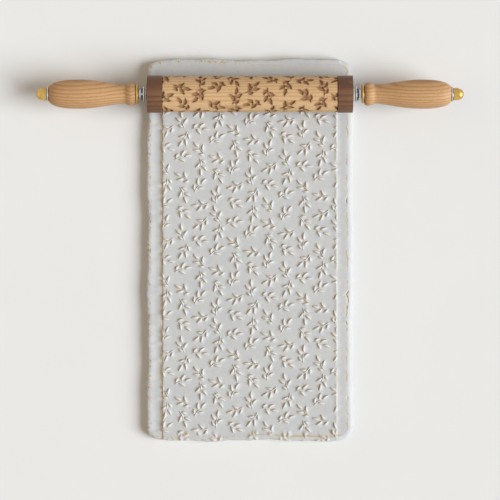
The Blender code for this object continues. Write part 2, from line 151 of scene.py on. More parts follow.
class Shape:
    """A leaf or a stem in a plane: a bowed spine with a half width along it."""

    def __init__(self, foot, heading, length, half, bow, is_stem):
        self.foot = Vector(foot)
        self.along = Vector((math.cos(heading), math.sin(heading)))
        self.across = Vector((-self.along.y, self.along.x))
        self.length = length
        self.half = half
        self.bow = bow
        self.is_stem = is_stem

    def swell(self, share):
        """How far along its rise and fall the outline is, from 0 at both ends to 1."""
        share = np.clip(share, 0, 1)
        return np.sin(math.pi * (share if self.is_stem else share**leaf_foot_power))

    def spine(self, share):
        share = np.clip(share, 0, 1)
        if self.is_stem:
            return self.bow * 4 * share * (1 - share)
        return self.bow * self.swell(share)

    def half_width(self, share):
        return self.half * self.swell(share) ** (stem_fullness if self.is_stem else leaf_fullness)

    def taper(self, share):
        """How the print sinks into the ground towards both tips."""
        top = stem_height_share if self.is_stem else 1
        return top * np.clip(self.swell(share), 0, 1) ** crest_fullness

    def place(self, share, offset):
        """The plane point at a share of the length, offset sideways from the spine."""
        return (
            self.foot + self.along * (share * self.length)
            + self.across * (float(self.spine(share)) + offset)
        )

    def ring(self, width_share, spread):
        """A closed outline round the shape, spread beyond a share of its half width."""
        offsets = [
            (share, width_share * float(self.half_width(share)) + spread)
            for share in leaf_station_shares
        ]
        ends = tip_spread_share * spread / self.length
        points = [self.place(-ends, 0)]
        points += [self.place(share, -offset) for share, offset in offsets]
        points.append(self.place(1 + ends, 0))
        points += [self.place(share, offset) for share, offset in reversed(offsets)]
        return points

    def ridge(self):
        return [self.place(share, 0) for share in ridge_station_shares]

    def local(self, points):
        """Share along the length, distance past an end, and distance and way from the spine."""
        away = points - np.array(self.foot)
        along = away @ np.array(self.along)
        share = along / self.length
        past = np.maximum(np.maximum(-along, along - self.length), 0)
        side = away @ np.array(self.across) - self.spine(share)
        return share, past, np.abs(side), np.sign(side)[:, None] * np.array(self.across)

    def reach(self, spread):
        """The centre and radius of a circle that holds the shape."""
        middle = self.foot + self.along * (self.length / 2)
        return middle, self.length / 2 + self.half + abs(self.bow) + spread


def sprig_shapes(place, heading):
    """The stem and leaves of the sprig that stands at a place with its tip along a heading."""
    turn = Matrix.Rotation(heading, 2)
    tail = Vector((-sprig_tail, 0))
    shapes = [
        Shape(place + turn @ tail, heading, stem_length, stem_width / 2, stem_bow, True)
    ]
    for length_share, share, lean_turns in sprig_leaf_shares:
        lean = full_turn * lean_turns
        foot = Vector((stem_length * share - sprig_tail, 4 * stem_bow * share * (1 - share)))
        foot += Vector((math.cos(lean), math.sin(lean))) * (leaf_gap + stem_width / 2)
        shapes.append(
            Shape(
                place + turn @ foot, heading + lean, length_share * leaf_length,
                leaf_width / 2, leaf_bow, False,
            )
        )
    return shapes


def sprig_places():
    """Each sprig's place on the unrolled sleeve, across and around, and its heading."""
    column_pitch = 2 * half_pattern / sprig_columns
    row_pitch = roll_length / sprig_rows
    for column in range(sprig_columns + 1):
        for row in range(sprig_rows):
            index = column * sprig_rows + row
            across = (column + first_column_share) * column_pitch - half_pattern
            around = (row + (column % 2) / 2 + first_row_share) * row_pitch
            yield (
                Vector((across, around)),
                full_turn * ((index + first_row_share) * turn_step_share % 1),
            )


class Plane:
    """Points and lines that a triangulated surface has to hold, in metres."""

    def __init__(self):
        self.points = []
        self.lines = []

    def add_line(self, points, closed=False):
        start = len(self.points)
        self.points += [tuple(point) for point in points]
        count = len(points)
        for step in range(count if closed else count - 1):
            self.lines.append((start + step, start + (step + 1) % count))

    def add_clipped(self, points, closed, axis, low, high):
        """Adds the stretches of a line that lie between two limits on one axis."""
        count = len(points)
        for step in range(count if closed else count - 1):
            first, second = Vector(points[step]), Vector(points[(step + 1) % count])
            start, end = 0.0, 1.0
            for limit, sign in ((low, 1), (high, -1)):
                from_limit = sign * (first[axis] - limit)
                to_limit = sign * (second[axis] - limit)
                if from_limit < 0 and to_limit < 0:
                    start, end = 1.0, 0.0
                elif from_limit < 0:
                    start = max(start, from_limit / (from_limit - to_limit))
                elif to_limit < 0:
                    end = min(end, from_limit / (from_limit - to_limit))
            if start >= end:
                continue
            ends = []
            for share in (start, end):
                point = first.lerp(second, share)
                if 0 < share < 1:
                    near_low = abs(point[axis] - low) < abs(point[axis] - high)
                    point[axis] = low if near_low else high
                ends.append(point)
            self.add_line(ends)

    def triangles(self, outline_count=0):
        """The surface's points and triangles. An outline, if any, is the first line's points."""
        faces = [list(range(outline_count))] if outline_count else []
        points, _, triangles, *_ = geometry.delaunay_2d_cdt(
            [Vector(point) for point in self.points], self.lines, faces,
            1 if outline_count else 0, merge_reach,
        )
        points = np.array([tuple(point) for point in points])
        triangles = np.array([face for face in triangles if len(face) == 3])
        a, b, c = (points[triangles[:, corner]] for corner in range(3))
        (ab_x, ab_y), (ac_x, ac_y) = (b - a).T, (c - a).T
        area = ab_x * ac_y - ab_y * ac_x
        triangles[area < 0] = triangles[area < 0][:, ::-1]
        return points, triangles[np.abs(area) > least_side**2]


def border_loop(triangles):
    """The outer edge of a triangulated surface, as its vertices in order, anticlockwise."""
    edges = dict.fromkeys(
        edge for a, b, c in triangles.tolist() for edge in ((a, b), (b, c), (c, a))
    )
    following = {a: b for a, b in edges if (b, a) not in edges}
    start = min(following)
    loop = [start]
    while following[loop[-1]] != start:
        loop.append(following[loop[-1]])
    return loop


def smooth_step(value, start, end):
    share = np.clip((value - start) / (end - start), 0, 1)
    return share * share * (3 - 2 * share)


def smooth_min(first, second, blend):
    share = np.clip(0.5 + (second - first) / (2 * blend), 0, 1)
    return second + (first - second) * share - blend * share * (1 - share)


def read(table, value):
    """A table's second column at a value of its first, with straight lines between rows."""
    return np.interp(value, *zip(*table))


def in_mm(*rows):
    """A table whose first column is written in millimetres."""
    return tuple((first * mm, *others) for first, *others in rows)


def ripple(value, waves):
    """A sum of sine waves, each an amplitude and a length in millimetres and a phase in turns."""
    return sum(
        size * mm * np.sin(full_turn * (value / (length * mm) + phase))
        for size, length, phase in waves
    )


def lumps(points, size, scale):
    """Perlin noise at each point, for features of about the given size."""
    return scale * np.array([noise.noise(Vector(point) / size) for point in points])


def add_object(name, data):
    made = bpy.data.objects.new(name, data)
    bpy.context.scene.collection.objects.link(made)
    return made


def new_piece(name, vertices, faces, sharp_turns=piece_sharp_turns):
    """A mesh object, smooth but for edges that turn by more than a share of a full turn."""
    mesh = bpy.data.meshes.new(name)
    mesh.from_pydata([tuple(vertex) for vertex in vertices], [], [tuple(face) for face in faces])
    mesh.validate()
    mesh.shade_smooth()
    mesh.set_sharp_from_angle(angle=full_turn * sharp_turns)
    return add_object(name, mesh)


def point_values(piece, name, values):
    attribute = piece.data.attributes.new(name, "FLOAT", "POINT")
    attribute.data.foreach_set("value", np.asarray(values, np.float32))


def dress(piece, slot, body, node):
    """Gives a piece its slot and material, and puts it in place of its CAD node on a body."""
    piece.data.materials.clear()
    piece.data.materials.append(materials[slot])
    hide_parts(node)
    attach(piece, body)


# Clay strip

strip_corner_radius = 7 * mm
outline_spacing = 0.55 * mm
nip_ahead = 8.6 * mm
bulge_height = 0.5 * mm
bulge_ahead = 7 * mm
bulge_reach = 3.5 * mm
crest_blend = 0.7 * mm
print_start = (0.2 * mm, 1.2 * mm)
strip_sharp_turns = 0.2

# The strip's mesh. It has a line for each row of the edge tables, up to a reach out from the
# band, rows of points in the nip and beyond it, and a staggered grid elsewhere.
edge_line_reach = 4.2 * mm
edge_line_spacing = 0.85 * mm
back_inset = 0.4 * mm
nip_row_spacing = 0.4 * mm
nip_rows_overrun = 1.6 * mm
plain_row_spacing = 1.2 * mm
plain_column_spacing = 2 * mm
plain_inset = 4 * mm
grid_spacing = 2.6 * mm
grid_inset = 4.2 * mm
grid_clearance = 1.5 * mm
print_end_inset = 3.4 * mm

# The step between band and margin, steeper on the left: distance out from the band's edge,
# share of the drop
left_step_shares = in_mm((-0.2, 0.0), (-0.04, 0.1), (0.08, 0.4), (0.22, 0.85), (0.4, 1.0))
right_step_shares = in_mm((-0.3, 0.0), (0.0, 0.12), (0.3, 0.42), (0.6, 0.75), (0.95, 1.0))

# How much tan the leaves' flanks take, by share of the half width: painted shade on the side
# away from the key lamp, and a real tan line at the foot on the other; and the step's painted
# shade on its wall and on the margin beside it, by distance out from the band's edge
shaded_flank_shares = ((0.0, 0.0), (0.3, 0.12), (0.66, 0.85), (1.0, 0.95))
rim_stains = ((0.0, 0.0), (0.8, 0.0), (1.0, 0.25))
painted_step_shade = in_mm(
    (-0.2, 0.0), (-0.04, 0.3), (0.08, 0.5), (0.22, 0.6), (0.4, 0.45), (0.7, 0.36), (1.3, 0.28),
    (2.2, 0.0),
)
# The share of the step's painted shade on the right, where the step faces the key lamp
right_step_shade_share = 0.12
# Painted shade: flanks facing this way, away from the key lamp, take the tan in full
shade_side_turns = 168 / 360
shade_side_way = np.array((math.cos(full_turn * shade_side_turns), math.sin(full_turn * shade_side_turns)))
shade_side_spread = (-0.35, 0.45)
# How far past a leaf's foot its tan reaches, painted shade and real foot line alike
stain_and_shade_reach = 0.8 * print_fillet
step_shade_limits = (-3 * mm, 1 * mm)
# Painted highlight: raised print and right bead turn paler between these shares of the print's
# height
painted_highlight_limits = (0.15, 0.7)

# The bead of clay squeezed up along the band's edges: distance out from the edge, share of the
# bead's height. Under the sleeve and the rims it stays lower than the fit's gap, so on the left
# the step widens beside it to a bank, which dips below the margin.
bead_height = 0.26 * mm
left_bead_shares = in_mm(
    (-5.5, 0.0), (-3.2, 0.35), (-1.6, 0.75), (-0.7, 1.0), (-0.2, 1.0), (0.08, 0.8), (0.6, 0.0)
)
left_bank_shares = in_mm(
    (-0.2, 0.0), (0.08, 0.12), (0.6, 0.36), (1.2, 0.86), (1.8, 1.52), (2.5, 2.0), (3.3, 2.25),
    (4.2, 2.3), (6.4, 1.65), (8.2, 1.0),
)
right_bead_shares = in_mm(
    (-1.3, 0.0), (-0.8, 0.35), (-0.3, 0.85), (0.0, 1.0), (0.3, 0.9), (0.6, 0.5), (0.95, 0.0)
)
# Painted shade on the right bead's inner side, which faces away from the key lamp
right_bead_painted_shade = in_mm((-1.3, 0.0), (-0.8, 0.22), (-0.3, 0.15), (0.0, 0.0))

# The bead comes and goes along the edge: the size of the noise for it, the height at which the
# noise is read, and its values where the bead sets in and is whole
bead_run = 3.4 * mm
bead_slice = 0.4 * bead_run
bead_limits = (-0.35, 0.0)

# The outer edge, sharp on the left and rounded on the right: distance in from the outline,
# share of the full thickness
left_edge_shares = in_mm(
    (0.0, 0.86), (0.2, 0.94), (0.55, 0.99), (1.1, 1.02), (1.9, 1.05), (2.8, 1.03), (3.9, 1.0)
)
right_edge_shares = in_mm(
    (0.0, 0.5), (0.2, 0.64), (0.55, 0.77), (1.1, 0.87), (1.9, 0.95), (2.8, 0.988), (3.9, 1.0)
)

# Where the left edge's form turns into the right one's, in from the right
edge_blend = (8 * mm, 5 * mm)

# The outer wall under the edge: outward bulge, share of the edge's height
wall_rings = in_mm((0.16, 0.78), (0.24, 0.52), (0.18, 0.28), (0.02, 0.1), (-0.35, 0.0))

# Waves along the strip: amplitude and length in millimetres, phase in turns
left_edge_waves = ((0.38, 71, 0.1), (0.22, 29, 0.6), (0.1, 9.7, 0.3), (0.07, 3.1, 0.2))
left_edge_shift = 0.45 * mm
left_step_shift = 0.35 * mm
right_edge_waves = ((0.32, 93, 0.35), (0.16, 37, 0.9), (0.05, 8.3, 0))
end_waves = ((0.5, 61, 0.2), (0.3, 23, 0.7), (0.12, 7.9, 0.5))
step_waves = ((0.07, 23, 0.4), (0.06, 7.1, 0.15), (0.05, 3.3, 0.8))
roll_waves = ((0.035, 41, 0.2), (0.035, 26, 0.7))

# Where those waves set in and where they are whole, and the middle and reach of the step's
outer_wave_limits = (half_pattern + 1.5 * mm, half_width - 0.5 * mm)
end_wave_limits = (half_length - 12 * mm, half_length - 0.5 * mm)
roll_wave_limits = (half_width, half_width - 6 * mm)
step_wave_middle = half_pattern + 0.1 * mm
step_wave_reach = 0.9 * mm

# Torn notches in the left edge
notch_limits = (half_width - 1.6 * mm, half_width - 0.1 * mm)
notch_depth = 0.8 * mm
notch_length = 4.1 * mm
notch_wander = 9 * mm
notch_strength_length = 27 * mm

# Small lumps on the edge's top and on its wall: their size and how far they stand out; and on
# the top the insets where they set in and are whole, and how much of them the right edge has
rough_size = 1.3 * mm
rough_height = 0.2 * mm
rough_limits = (2.6 * mm, 0.2 * mm)
rough_right_share = 0.3
wall_lump_size = 2.3 * mm
wall_lump_height = 0.14 * mm

# Cracks in the right margin, each from end to end, in millimetres: distance in from the
# outline, place along
edge_cracks = (
    ((2.0, -23.3), (3.5, -26.1), (2.3, -29.4), (2.6, -31.5)),
    ((3.2, -32.1), (3.0, -34.2), (2.6, -35.6)),
    ((3.7, -41.4), (3.0, -43.0), (2.4, -44.8)),
    ((3.0, -45.7), (2.7, -47.4)),
    ((2.5, 31.4), (3.1, 28.8), (2.6, 26.9)),
    ((2.9, -88.2), (2.4, -85.7)),
)
crack_step = 0.6 * mm
crack_width = 0.36 * mm
crack_depth = 0.45 * mm
crack_jag = 0.12 * mm
crack_jag_steps = (2.4, 1.1)
crack_end = 0.8 * mm


def outline_ring(inset):
    """The strip's outline seen from above, drawn in by an inset: a rounded rectangle."""
    radius = strip_corner_radius - inset
    reach_x = half_width - strip_corner_radius
    reach_y = half_length - strip_corner_radius
    ring = []
    for corner, (sign_x, sign_y) in enumerate(((1, 1), (-1, 1), (-1, -1), (1, -1))):
        centre = Vector((sign_x * reach_x, sign_y * reach_y))
        steps = max(round(radius * full_turn / 4 / outline_spacing), 3)
        for step in range(steps + 1):
            angle = full_turn * (corner + step / steps) / 4
            ring.append(centre + Vector((math.cos(angle), math.sin(angle))) * radius)
        length = 2 * (reach_y if corner % 2 else reach_x)
        steps = round(length / outline_spacing)
        direction = Vector((-math.sin(angle), math.cos(angle)))
        last = ring[-1]
        ring += [last + direction * (length * step / steps) for step in range(1, steps)]
    return ring


def from_outline(points):
    """Distance in from the strip's outline, and the outward direction, at each plane point."""
    reach = np.array((half_width - strip_corner_radius, half_length - strip_corner_radius))
    core = np.clip(points, -reach, reach)
    away = points - core
    past = np.linalg.norm(away, axis=1)
    rect = np.array((half_width, half_length)) - np.abs(points)
    outside = past > least_radius
    inset = np.where(outside, strip_corner_radius - past, rect.min(axis=1))
    nearest = np.argmin(rect, axis=1)
    flat = np.zeros_like(points)
    each = np.arange(len(points))
    flat[each, nearest] = np.sign(points[each, nearest])
    direction = np.where(outside[:, None], away / np.maximum(past, least_radius)[:, None], flat)
    return inset, direction


def rolled_height(ahead, radius, thickness):
    """The surface that a cylinder leaves: flat behind its nip and its own arc ahead of it."""
    arc = axis_z - np.sqrt(np.maximum(radius**2 - ahead**2, 0))
    rising = np.where(ahead < radius, arc, unrolled_thickness * 3)
    return np.where(ahead <= 0, thickness, rising)


def crack_line(corners):
    """A crack through its corners in the right margin, with a finer jag of its own."""
    points = []
    for (inset, y), (next_inset, next_y) in zip(corners, corners[1:]):
        start = Vector((half_width - inset * mm, y * mm))
        end = Vector((half_width - next_inset * mm, next_y * mm))
        steps = max(round((end - start).length / crack_step), 1)
        points += [start.lerp(end, step / steps) for step in range(steps)]
    points.append(end)
    fine, slow = crack_jag_steps
    for place, point in enumerate(points[1:-1], 1):
        point.x += crack_jag * math.sin(fine * place + point.y / mm) * math.cos(slow * place)
    return points


def printed_shapes():
    """Every leaf and stem of the print behind the nip, where the sleeve has rolled."""
    turns_back = math.ceil((axis_y + half_length) / roll_length)
    for turn_back in range(1, turns_back + 1):
        for place, heading in sprig_places():
            moved = place + Vector((0, axis_y - turn_back * roll_length))
            if -half_length - leaf_length < moved.y < axis_y + leaf_length:
                yield from sprig_shapes(moved, heading)


def strip_plane(shapes):
    """The strip seen from above, with the lines that its edges, steps, cracks and print need."""
    plane = Plane()
    outline = outline_ring(0)
    plane.add_line(outline, closed=True)
    for inset, _ in left_edge_shares[1:]:
        plane.add_line(outline_ring(inset), closed=True)
    ys = np.arange(back_inset - half_length, axis_y + nip_ahead, edge_line_spacing)
    for side, tables in (
        (-1, left_step_shares + left_bead_shares + left_bank_shares),
        (1, right_step_shares + right_bead_shares),
    ):
        for distance in sorted({distance for distance, _ in tables}):
            if distance <= edge_line_reach:
                plane.add_line([(side * (half_pattern + distance), y) for y in ys])
    nip_end = axis_y + nip_ahead + nip_rows_overrun
    plain_reach = half_width - plain_inset
    for y in np.concatenate((
        np.arange(axis_y, nip_end, nip_row_spacing),
        np.arange(nip_end + nip_row_spacing, half_length - plain_inset, plain_row_spacing),
    )):
        xs = np.arange(-plain_reach, plain_reach, plain_column_spacing)
        plane.points += [(x, y) for x in xs]
    rows = np.arange(grid_inset - half_length, axis_y - 1 * mm, grid_spacing)
    for row, y in enumerate(rows, 1):
        start = grid_inset - half_width + (row % 2) * grid_spacing / 2
        for x in np.arange(start, plain_reach, grid_spacing):
            if abs(abs(x) - half_pattern) > grid_clearance:
                plane.points.append((x, y))
    for corners in edge_cracks:
        centre = crack_line(corners)
        plane.add_line(centre)
        for side in (-1, 1):
            shift = Vector((side * crack_width, 0))
            plane.add_line([centre[0], *(point + shift for point in centre[1:-1]), centre[-1]])
    for shape in shapes:
        lines = [(shape.ring(1, print_fillet), True)]
        lines += [(shape.ring(share, 0), True) for share, _ in print_section_shares[:0:-1]]
        lines.append((shape.ridge(), False))
        for line, closed in lines:
            ends = [point.y for point in line]
            if min(ends) >= print_end_inset - half_length and max(ends) <= axis_y:
                plane.add_clipped(line, closed, 0, -half_pattern, half_pattern)
    return plane.triangles(len(outline))


def print_on(points, shapes):
    """How high the print stands at each point, and how much tan its flanks take: painted shade
    on the side away from the key lamp, and a real tan line at the foot on the other side.
    """
    raised = np.zeros(len(points))
    stain_and_painted_shade = np.zeros(len(points))
    order = np.argsort(points[:, 1])
    sorted_y = points[order, 1]
    for shape in shapes:
        middle, reach = shape.reach(print_reach)
        first, last = np.searchsorted(sorted_y, (middle.y - reach, middle.y + reach))
        near = order[first:last]
        near = near[np.abs(points[near, 0] - middle.x) < reach]
        if not len(near):
            continue
        share, past, side, outward = shape.local(points[near])
        half = np.maximum(shape.half_width(share), least_width)
        beyond = np.hypot(np.maximum(side - half, 0), past)
        taper = shape.taper(share)
        foot = print_section_shares[-1][1] * np.clip(1 - beyond / print_fillet, 0, 1)
        section = np.where(beyond > 0, foot, read(print_section_shares, side / half))
        raised[near] = np.maximum(raised[near], print_height * taper * section)
        # Painted shade on the flanks that face away from the key lamp; the others get only a thin
        # foot line
        shaded_side = smooth_step(outward @ shade_side_way, *shade_side_spread)
        wall = read(shaded_flank_shares, side / half) * shaded_side
        wall += read(rim_stains, side / half) * (1 - shaded_side)
        wall *= taper * np.clip(1 - beyond / stain_and_shade_reach, 0, 1)
        stain_and_painted_shade[near] = np.maximum(stain_and_painted_shade[near], wall)
    return raised, stain_and_painted_shade


def crack_shares(points):
    """How deep in a crack each point lies, from 0 to 1."""
    depth = np.zeros(len(points))
    for corners in edge_cracks:
        line = np.array([tuple(point) for point in crack_line(corners)])
        low, high = line.min(axis=0), line.max(axis=0)
        margin = 2 * crack_width
        near = np.flatnonzero(((points > low - margin) & (points < high + margin)).all(axis=1))
        here = points[near]
        away = np.full(len(near), 1.0)
        for start, end in zip(line, line[1:]):
            run = end - start
            share = np.clip((here - start) @ run / (run @ run), 0, 1)
            to_run = here - start - share[:, None] * run
            away = np.minimum(away, np.linalg.norm(to_run, axis=1))
        ends = np.minimum(here[:, 1] - low[1], high[1] - here[:, 1])
        inside = np.clip(1 - away / crack_width, 0, 1) * np.clip(ends / crack_end, 0, 1)
        depth[near] = np.maximum(depth[near], inside)
    return depth


def bead_strength(points):
    """How far the bead along the band's nearer edge stands up at each point, from 0 to 1."""
    side = np.sign(points[:, 0])
    beside = np.column_stack((side * half_pattern, points[:, 1], np.full(len(side), bead_slice)))
    return smooth_step(lumps(beside, bead_run, 1.0), *bead_limits)


def strip_heights(points, shapes):
    """The strip's height, its edge rounding, its tan of real marks and painted shade, and its
    painted highlight on raised tops, at each point.
    """
    on_left = points[:, 0] < 0
    ahead = points[:, 1] - axis_y
    swell = np.exp(-(((ahead - bulge_ahead) / bulge_reach) ** 2))
    swollen = unrolled_thickness + bulge_height * swell
    band, margin = (
        smooth_min(rolled_height(ahead, radius + fit_gap, thickness), swollen, crest_blend)
        for radius, thickness in ((sleeve_radius, band_thickness), (rim_radius, margin_thickness))
    )
    fade = smooth_step(-ahead, *print_start)
    past_edge = np.abs(points[:, 0]) - half_pattern
    strength = bead_strength(points) * fade
    left_drop = read(left_step_shares, past_edge) * (1 - strength)
    left_drop += read(left_bank_shares, past_edge) * strength
    drop = np.where(on_left, left_drop, read(right_step_shares, past_edge))
    left_bead, right_bead = (
        read(table, past_edge) for table in (left_bead_shares, right_bead_shares)
    )
    bead = bead_height * strength * np.where(on_left, left_bead, right_bead)
    raised, stain_and_painted_shade = print_on(points, shapes)
    kept = np.clip(1 - drop, 0, 1)
    raised *= fade * kept
    height = band + np.maximum(raised, bead) + (margin - band) * drop
    # Painted highlight on the print's tops and on the right bead
    crown = np.where(on_left, raised, np.maximum(raised, bead)) / print_height
    stain_and_painted_shade *= fade * kept
    # Painted shade on the inner side of the right bead
    stain_and_painted_shade = np.maximum(stain_and_painted_shade, read(right_bead_painted_shade, past_edge) * strength * ~on_left)
    # Painted shade on the left step's wall and on the margin beside it, faint on the right
    step_shade = read(painted_step_shade, past_edge) * smooth_step(-ahead, *step_shade_limits)
    stain_and_painted_shade = np.maximum(stain_and_painted_shade, step_shade * np.where(on_left, 1.0, right_step_shade_share))
    inset, _ = from_outline(points)
    on_right = smooth_step(points[:, 0], *(half_width - inset for inset in edge_blend))
    rounding = read(left_edge_shares, inset) * (1 - on_right)
    rounding += read(right_edge_shares, inset) * on_right
    # Cracks are cut into the height and take the tan in full, painted shade in their depth
    cracked = crack_shares(points)
    height -= crack_depth * cracked
    return height, rounding, np.maximum(stain_and_painted_shade, cracked), smooth_step(crown, *painted_highlight_limits)


def notches(y):
    """The small torn notches along the left edge: shallow scallops between ragged points."""
    wave = np.sin(math.pi * (y / notch_length + 0.6 * np.sin(y / notch_wander)))
    strength = 0.5 + 0.5 * np.sin(full_turn * y / notch_strength_length + 1.3)
    return (1 - np.abs(wave)) ** 4 * strength * notch_depth


def strip_warp(points):
    """Where each ideal plane point of the strip really lies: wavy edges and wandering steps."""
    x, y = points[:, 0].copy(), points[:, 1].copy()
    on_left, out = x < 0, np.abs(x)
    outer = smooth_step(out, *outer_wave_limits)
    edge = smooth_step(out, *notch_limits)
    left = outer * (ripple(y, left_edge_waves) - left_edge_shift) + edge * notches(y)
    step = np.exp(-(((out - step_wave_middle) / step_wave_reach) ** 2))
    step *= ripple(y + x, step_waves) - left_step_shift * on_left
    x += np.where(on_left, left, outer * ripple(y, right_edge_waves)) + step
    end = smooth_step(np.abs(y), *end_wave_limits)
    y += np.sign(y) * end * ripple(x + 0.3 * y, end_waves)
    return np.column_stack((x, y))


def make_clay_strip():
    shapes = list(printed_shapes())
    points, triangles = strip_plane(shapes)
    height, rounding, stain_and_painted_shade, crown = strip_heights(points, shapes)
    inner = smooth_step(np.abs(points[:, 0]), *roll_wave_limits)
    z = height * rounding + ripple(points[:, 1], roll_waves) * inner
    inset, _ = from_outline(points)
    ragged = smooth_step(inset, *rough_limits)
    ragged *= np.where(points[:, 0] < 0, 1.0, rough_right_share)
    z += ragged * lumps(np.column_stack((points, z)), rough_size, rough_height)
    loop = border_loop(triangles)
    _, outward = from_outline(points[loop])
    ridges = lumps(np.column_stack((points[loop], z[loop])), wall_lump_size, 1.0)
    layers = [(points, z, stain_and_painted_shade, crown, np.minimum(inset, half_pattern))]
    rings = [np.array(loop)]
    count = len(points)
    none = np.zeros(len(loop))
    for bulge, height_share in wall_rings:
        out = bulge + ridges * wall_lump_height * (height_share > 0)
        layers.append((
            points[loop] + outward * out[:, None], z[loop] * height_share,
            np.clip(0.1 + 0.4 * ridges, 0, 0.4), none, none,
        ))
        rings.append(np.arange(count, count + len(loop)))
        count += len(loop)
    flat, z, stain_and_painted_shade, crown, inset = (np.concatenate(values) for values in zip(*layers))
    faces = triangles.tolist()
    for upper, lower in zip(rings, rings[1:]):
        for step in range(len(loop)):
            after = (step + 1) % len(loop)
            faces.append((upper[step], lower[step], lower[after], upper[after]))
    faces.append(tuple(int(vertex) for vertex in rings[-1][::-1]))
    vertices = np.column_stack((strip_warp(flat), z))
    piece = new_piece("rolled_clay_strip", vertices, faces, strip_sharp_turns)
    for name, values in (("stain_and_painted_shade", stain_and_painted_shade), ("crown", crown), ("inset", inset)):
        point_values(piece, name, values)
    dress(piece, "clay", "strip", "clay_strip")


# Engraved sleeve

bore_steps = 96
rim_columns = 84
surface_columns = 44
same_place = 1e-7


def on_sleeve(across, around, radius):
    angle = around / sleeve_radius
    return np.column_stack((
        across, axis_y + radius * np.sin(angle), axis_z - radius * np.cos(angle)
    ))


def sleeve_plane(shapes):
    """The unrolled sleeve, seam to seam, with every pocket's outline."""
    plane = Plane()
    xs = np.linspace(-half_pattern, half_pattern, rim_columns + 1)
    arounds = np.linspace(0, roll_length, bore_steps + 1)
    corners = [(x, 0) for x in xs] + [(half_pattern, a) for a in arounds[1:-1]]
    corners += [(x, roll_length) for x in xs[::-1]]
    corners += [(-half_pattern, a) for a in arounds[-2:0:-1]]
    plane.add_line(corners, closed=True)
    inner_xs = np.linspace(-half_pattern, half_pattern, surface_columns + 1)[1:-1]
    for around in arounds[1:-1]:
        plane.points += [(x, around) for x in inner_xs]
    for shape in shapes:
        for line in (shape.ring(1, pocket_spread), shape.ring(1, pocket_spread - pocket_wall)):
            clipped = Plane()
            clipped.add_clipped(line, True, 0, -half_pattern, half_pattern)
            for first, second in clipped.lines:
                ends = (clipped.points[first], clipped.points[second])
                plane.add_clipped(ends, False, 1, 0, roll_length)
    return plane.triangles(len(corners))


def pocket_depths(points, shapes):
    """How deep each point lies in a pocket, and how scorched it is."""
    depth = np.zeros(len(points))
    scorch = np.zeros(len(points))
    for shape in shapes:
        middle, reach = shape.reach(scorch_reach)
        near = np.hypot(*(points - middle).T) < reach
        if not near.any():
            continue
        share, past, side, _ = shape.local(points[near])
        beyond = np.hypot(np.maximum(side - shape.half_width(share), 0), past)
        sunk = np.clip((pocket_spread - beyond) / pocket_wall, 0, 1)
        depth[near] = np.maximum(depth[near], sunk)
        burnt = np.clip(scorch_strength - beyond / scorch_spread, 0, 1)
        scorch[near] = np.maximum(scorch[near], burnt)
    return depth * pocket_depth, scorch


def zipped(first, second):
    """Triangles that join two rings, each a list of angle and vertex in order."""
    triangles = []
    at_first, at_second = 0, 0
    while at_first < len(first) or at_second < len(second):
        turns, place = divmod(at_first + 1, len(first))
        next_first = first[place][0] + turns * full_turn
        turns, place = divmod(at_second + 1, len(second))
        next_second = second[place][0] + turns * full_turn
        a = first[at_first % len(first)][1]
        b = second[at_second % len(second)][1]
        if at_second >= len(second) or (at_first < len(first) and next_first <= next_second):
            at_first += 1
            triangles.append((a, first[at_first % len(first)][1], b))
        else:
            at_second += 1
            triangles.append((a, second[at_second % len(second)][1], b))
    return triangles


def make_sleeve():
    shapes = []
    for turn in (-1, 0, 1):
        for place, heading in sprig_places():
            moved = place + Vector((0, turn * roll_length))
            if -2 * leaf_length < moved.y < roll_length + 2 * leaf_length:
                shapes += sprig_shapes(moved, heading)
    points, triangles = sleeve_plane(shapes)
    depth, scorch = pocket_depths(points, shapes)
    outer = on_sleeve(points[:, 0], points[:, 1], sleeve_radius - depth)
    vertices = [outer]
    values = [scorch]
    faces = triangles[:, ::-1].tolist()
    count = len(points)
    bore_radius = core_radius + fit_gap
    bores = []
    for side in (-1, 1):
        arounds = roll_length * np.arange(bore_steps) / bore_steps
        vertices.append(on_sleeve(np.full(bore_steps, side * half_pattern), arounds, bore_radius))
        values.append(np.zeros(bore_steps))
        bores.append([(a / sleeve_radius, count + step) for step, a in enumerate(arounds)])
        count += bore_steps
    for side, bore in zip((-1, 1), bores):
        at_end = np.flatnonzero(np.abs(points[:, 0] - side * half_pattern) < same_place)
        at_end = at_end[points[at_end, 1] < roll_length - same_place]
        at_end = at_end[np.argsort(points[at_end, 1])]
        rim = [(points[index, 1] / sleeve_radius, int(index)) for index in at_end]
        faces += [face[::side] for face in zipped(rim, bore)]
    left, right = ([vertex for _, vertex in bore] for bore in bores)
    for step in range(bore_steps):
        after = (step + 1) % bore_steps
        faces.append((left[step], left[after], right[after], right[step]))
    piece = new_piece("engraved_sleeve", np.concatenate(vertices), faces)
    point_values(piece, "scorch", np.concatenate(values))
    close_seams(piece)
    dress(piece, "engraved_wood", "drum", "texture_sleeve")


def close_seams(piece):
    """Joins the points that lie on one another, and turns all faces outwards."""
    shape = bmesh.new()
    shape.from_mesh(piece.data)
    bmesh.ops.remove_doubles(shape, verts=shape.verts, dist=seam_reach)
    bmesh.ops.recalc_face_normals(shape, faces=shape.faces)
    shape.to_mesh(piece.data)
    shape.free()
    piece.data.set_sharp_from_angle(angle=full_turn * piece_sharp_turns)


# Turned pieces

turned_steps = 96
rim_steps = 144
screw_steps = 48
cut_sharp_turns = 0.09
most_eased = 0.45


def eased(section, radius, closed=True, steps=3):
    """A section's corners, drawn as small round ones."""
    count = len(section)
    points = []
    for place, corner in enumerate(section):
        if not closed and place in (0, count - 1):
            points.append(corner)
            continue
        corner = Vector(corner)
        before = Vector(section[place - 1]) - corner
        after = Vector(section[(place + 1) % count]) - corner
        cut = min(radius, most_eased * before.length, most_eased * after.length)
        start = corner + before.normalized() * cut
        end = corner + after.normalized() * cut
        for share in (step / steps for step in range(steps + 1)):
            first, second = start.lerp(corner, share), corner.lerp(end, share)
            points.append(tuple(first.lerp(second, share)))
    return points


